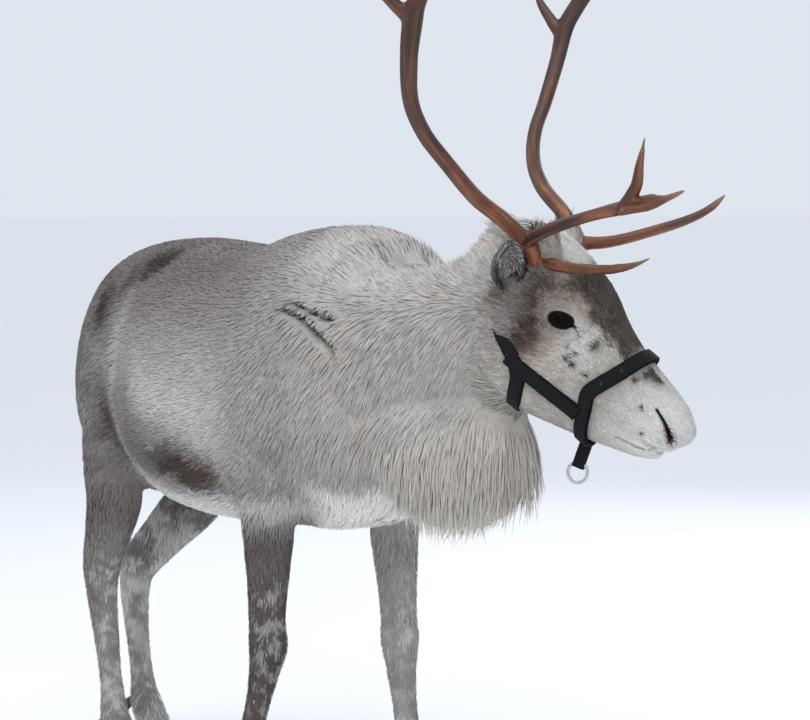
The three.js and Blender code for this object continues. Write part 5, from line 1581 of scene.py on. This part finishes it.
def strap_path(spots, round_path, count):
    points, normals = [], []
    for inside, way in spots:
        start, way = on_head(*inside), unit(head_way(*way))
        hit = under_tree.ray_cast(Vector(start + way * 400), Vector(-way), 400)[0]
        points.append((np.array(hit) if hit is not None else start + way * 60) + way * 1.5)
        normals.append(way)
    points, normals = np.array(points), np.array(normals)
    if round_path:
        points, normals = (np.vstack([v[-3:], v, v[:4]]) for v in (points, normals))
        total = len(points) - 1
        t = (3 + np.arange(count) / count * (total - 6)) / total
    else:
        t = np.linspace(0, 1, count)
    return spline(points, t), unit(spline(normals, t))


def strap(points, normals, profile, round_path):
    """Sweeps a closed profile of [across, out] along a path."""
    count = len(points)
    ahead = np.roll(points, -1, 0) - np.roll(points, 1, 0)
    if not round_path:
        ahead[0], ahead[-1] = points[1] - points[0], points[-1] - points[-2]
    ahead = unit(ahead)
    n = unit(normals - ahead * (normals * ahead).sum(1, keepdims=True))
    across = np.cross(ahead, n)
    shape = np.array(profile, float)
    body = points[:, None] + across[:, None] * shape[None, :, :1] + n[:, None] * shape[None, :, 1:]
    size = len(shape)
    faces = []
    for i in range(count if round_path else count - 1):
        for k in range(size):
            a, b = i * size + k, i * size + (k + 1) % size
            c, d = (i + 1) % count * size + (k + 1) % size, (i + 1) % count * size + k
            faces.append((a, d, c, b))
    if not round_path:
        faces.append(tuple(range(size)))
        faces.append(tuple(reversed(range((count - 1) * size, count * size))))
    lengths = np.r_[0, np.cumsum(np.linalg.norm(np.diff(points, axis=0), axis=1))]
    weave = np.stack([np.repeat(shape[None, :, 0], count, 0), np.repeat(lengths[:, None], size, 1)], -1)
    return body.reshape(-1, 3), faces, weave.reshape(-1, 2) * 0.001


def rounded(wide, low, high, bulge=0.8):
    """Profile of a flat band with soft edges and two stitched lines."""
    h = wide / 2
    middle = (low + high) / 2
    top = [(x * h, high - (0.35 if abs(abs(x) - 0.78) < 0.05 else 0) + bulge * 0.3 * (1 - x * x))
           for x in (0.95, 0.84, 0.78, 0.72, 0.35, 0, -0.35, -0.72, -0.78, -0.84, -0.95)]
    return [(-h, middle), (-h * 0.95, low), (0, low), (h * 0.95, low), (h, middle)] + top


def give_weave(mesh, weave):
    """Lays the webbing's pattern along a strap."""
    layer = mesh.uv_layers.new(name="weave")
    loops = np.empty(len(mesh.loops), int)
    mesh.loops.foreach_get("vertex_index", loops)
    layer.data.foreach_set("uv", weave[loops].astype(np.float32).ravel())


def add_strap(name, path, round_path, nodes):
    points, normals = path
    body, faces, weave = strap(points, normals, rounded(STRAP_WIDTH, 2.2, 5.6), round_path)
    piece = new_mesh(name, body, faces, WEBBING)
    give_weave(piece.data, weave)
    lining, lining_faces, _ = strap(points, normals, rounded(STRAP_WIDTH + 3, -2.5, 3.0, 2.0), round_path)
    pad = new_mesh(name + "_lining", lining, lining_faces, FLEECE)
    for each in (piece, pad):
        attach(each, "root")
        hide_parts(*nodes)
    return pad


def mixed(a, b, t):
    return a + (b - a) * t


nose_spots = []
for i in range(20):
    turn = i / 20 * math.tau
    c, sn = math.cos(turn), math.sin(turn)
    x = 243 + 30 * (sn + 0.4) / 1.4 if sn > -0.4 else 243 + 34 * (-0.4 - sn) / 0.6
    nose_spots.append(((x, 0, mixed(-40, -60, -sn) if sn < 0 else -40), (0, c, sn)))
CROWN_PATH = [(156, -142, 60), (146, -122, 80), (126, -100, 90), (98, -86, 90), (58, -68, 90),
              (24, -30, 88), (4, 20, 84), (-4, 62, 60)]
half = spline(CROWN_PATH, np.arange(12) / 12)


def crown_half(hand):
    spots = []
    for x, z, _ in half:
        tilt = float(smooth(10, 90, z) - smooth(110, 170, -z))
        spots.append(((x, 0, z - tilt * 30), (0, hand * mixed(1, 0.55, abs(tilt)), tilt * 0.8)))
    return spots


crown_spots = (crown_half(-1) + [((-4, 0, 20), (0, 0, 1))] + crown_half(1)[::-1]
               + [((152, 0, -100), (0, 0, -1))])
crown_points, crown_ways = strap_path(crown_spots, True, 280)
crown = head_places(crown_points)
crown_points = (crown_points
                - crown_ways * (1 + 13 * smooth(-98, -66, crown[:, 2])
                                + 16 * smooth(10, 50, crown[:, 2]))[:, None])
linings = [
    add_strap("noseband", strap_path(nose_spots, True, 200), True, ["halter_noseband"]),
    add_strap("headpiece", (crown_points, crown_ways), True, ["halter_headpiece"]),
]
for hand, label in ((-1, "right"), (1, "left")):
    spots = [((mixed(112, 250, t), 0, mixed(-92, -98, t)), (0, hand, -0.12)) for t in np.linspace(0, 1, 9)]
    linings.append(add_strap(f"cheek_strap_{label}", strap_path(spots, False, 60), False,
                             [f"halter_cheek_{label}"]))

# Ring and the tab that holds it
ring_centre = on_head(*RING_PLACE)
turns = np.arange(72) / 72 * math.tau
loop = (ring_centre + LEVEL * (np.cos(turns) * RING_RADIUS)[:, None]
        + UP * (np.sin(turns) * RING_RADIUS)[:, None])
profile = [(math.cos(a) * RING_WIRE, math.sin(a) * RING_WIRE) for a in np.arange(16) / 16 * math.tau]
body, faces, _ = strap(loop, unit(loop - ring_centre), profile, True)
ring = new_mesh("ring", body, faces, STEEL)
tab_top = np.array(under_tree.ray_cast(Vector(on_head(277, 0, -60) + head_way(0, 0, -1) * 400),
                                       Vector(head_way(0, 0, 1)), 400)[0])
tab_low = ring_centre + UP * (RING_RADIUS - 8)
tab_path = np.array([mixed(tab_top - head_way(0, 0, -1) * 2, tab_low, t) for t in np.linspace(0, 1, 24)])
body, faces, weave = strap(tab_path, np.repeat([np.cross(LEVEL, UP)], 24, 0),
                           [(x, y) for x, y in rounded(20, -4.5, 4.5, 1.5)], False)
tab = new_mesh("ring_tab", body, faces, WEBBING)
give_weave(tab.data, weave)
for piece, node, slot in ((ring, "halter_ring", "metal"), (tab, "halter_tab", "webbing")):
    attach(piece, "root")
    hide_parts(node)

# Floor, light and camera
HALF_FLOOR = 150
corners = np.array([(-1, -1, 0), (1, -1, 0), (1, 1, 0), (-1, 1, 0)], float) * HALF_FLOOR
floor = new_mesh("floor", corners, [(0, 1, 2, 3)], floor_material(), row=False)

world = bpy.data.worlds.new("soft studio")
bpy.context.scene.world = world
world.use_nodes = True
world.node_tree.nodes["Background"].inputs["Color"].default_value = (0.78, 0.83, 0.90, 1)
world.node_tree.nodes["Background"].inputs["Strength"].default_value = 0.95


def lamp(name, place, aim, wide, power, tone):
    light = bpy.data.lights.new(name, "AREA")
    light.shape, light.size, light.energy, light.color = "DISK", wide, power, tone
    piece = bpy.data.objects.new(name, light)
    bpy.context.scene.collection.objects.link(piece)
    piece.location = place
    piece.rotation_mode = "QUATERNION"
    piece.rotation_quaternion = (Vector(aim) - Vector(place)).to_track_quat("-Z", "Y")


lamp("sky panel", (1.0, -1.5, 4.6), (0, 0, 0.8), 4.0, 85, (1.0, 0.99, 0.97))
lamp("front panel", (5.0, -3.0, 2.6), (0, 0, 0.9), 3.0, 40, (1.0, 0.98, 0.96))
lamp("back panel", (-2.5, 4.0, 3.0), (0, 0, 1.0), 3.0, 45, (0.93, 0.96, 1.0))

PICTURE_WIDE, FOCAL_PIXELS = 810, 2823
SENSOR_WIDE = 36
CAMERA_PLACE = [4059.4, -2534.8, 1080.0]
CAMERA_HEADING, CAMERA_TILT = 57, 3.24
lens = bpy.data.cameras.new("camera")
lens.sensor_width = SENSOR_WIDE
lens.lens = FOCAL_PIXELS / PICTURE_WIDE * SENSOR_WIDE
camera = bpy.data.objects.new("camera", lens)
bpy.context.scene.collection.objects.link(camera)
heading, down = math.radians(CAMERA_HEADING), math.radians(CAMERA_TILT)
right = Vector((math.cos(heading), math.sin(heading), 0))
back = Vector((math.sin(heading) * math.cos(down), -math.cos(heading) * math.cos(down), math.sin(down)))
turned = Matrix((right, back.cross(right), back)).transposed().to_4x4()
camera.matrix_world = Matrix.Translation(Vector(to_row(CAMERA_PLACE))) @ turned
bpy.context.scene.camera = camera
bpy.context.scene.view_settings.view_transform = "Standard"
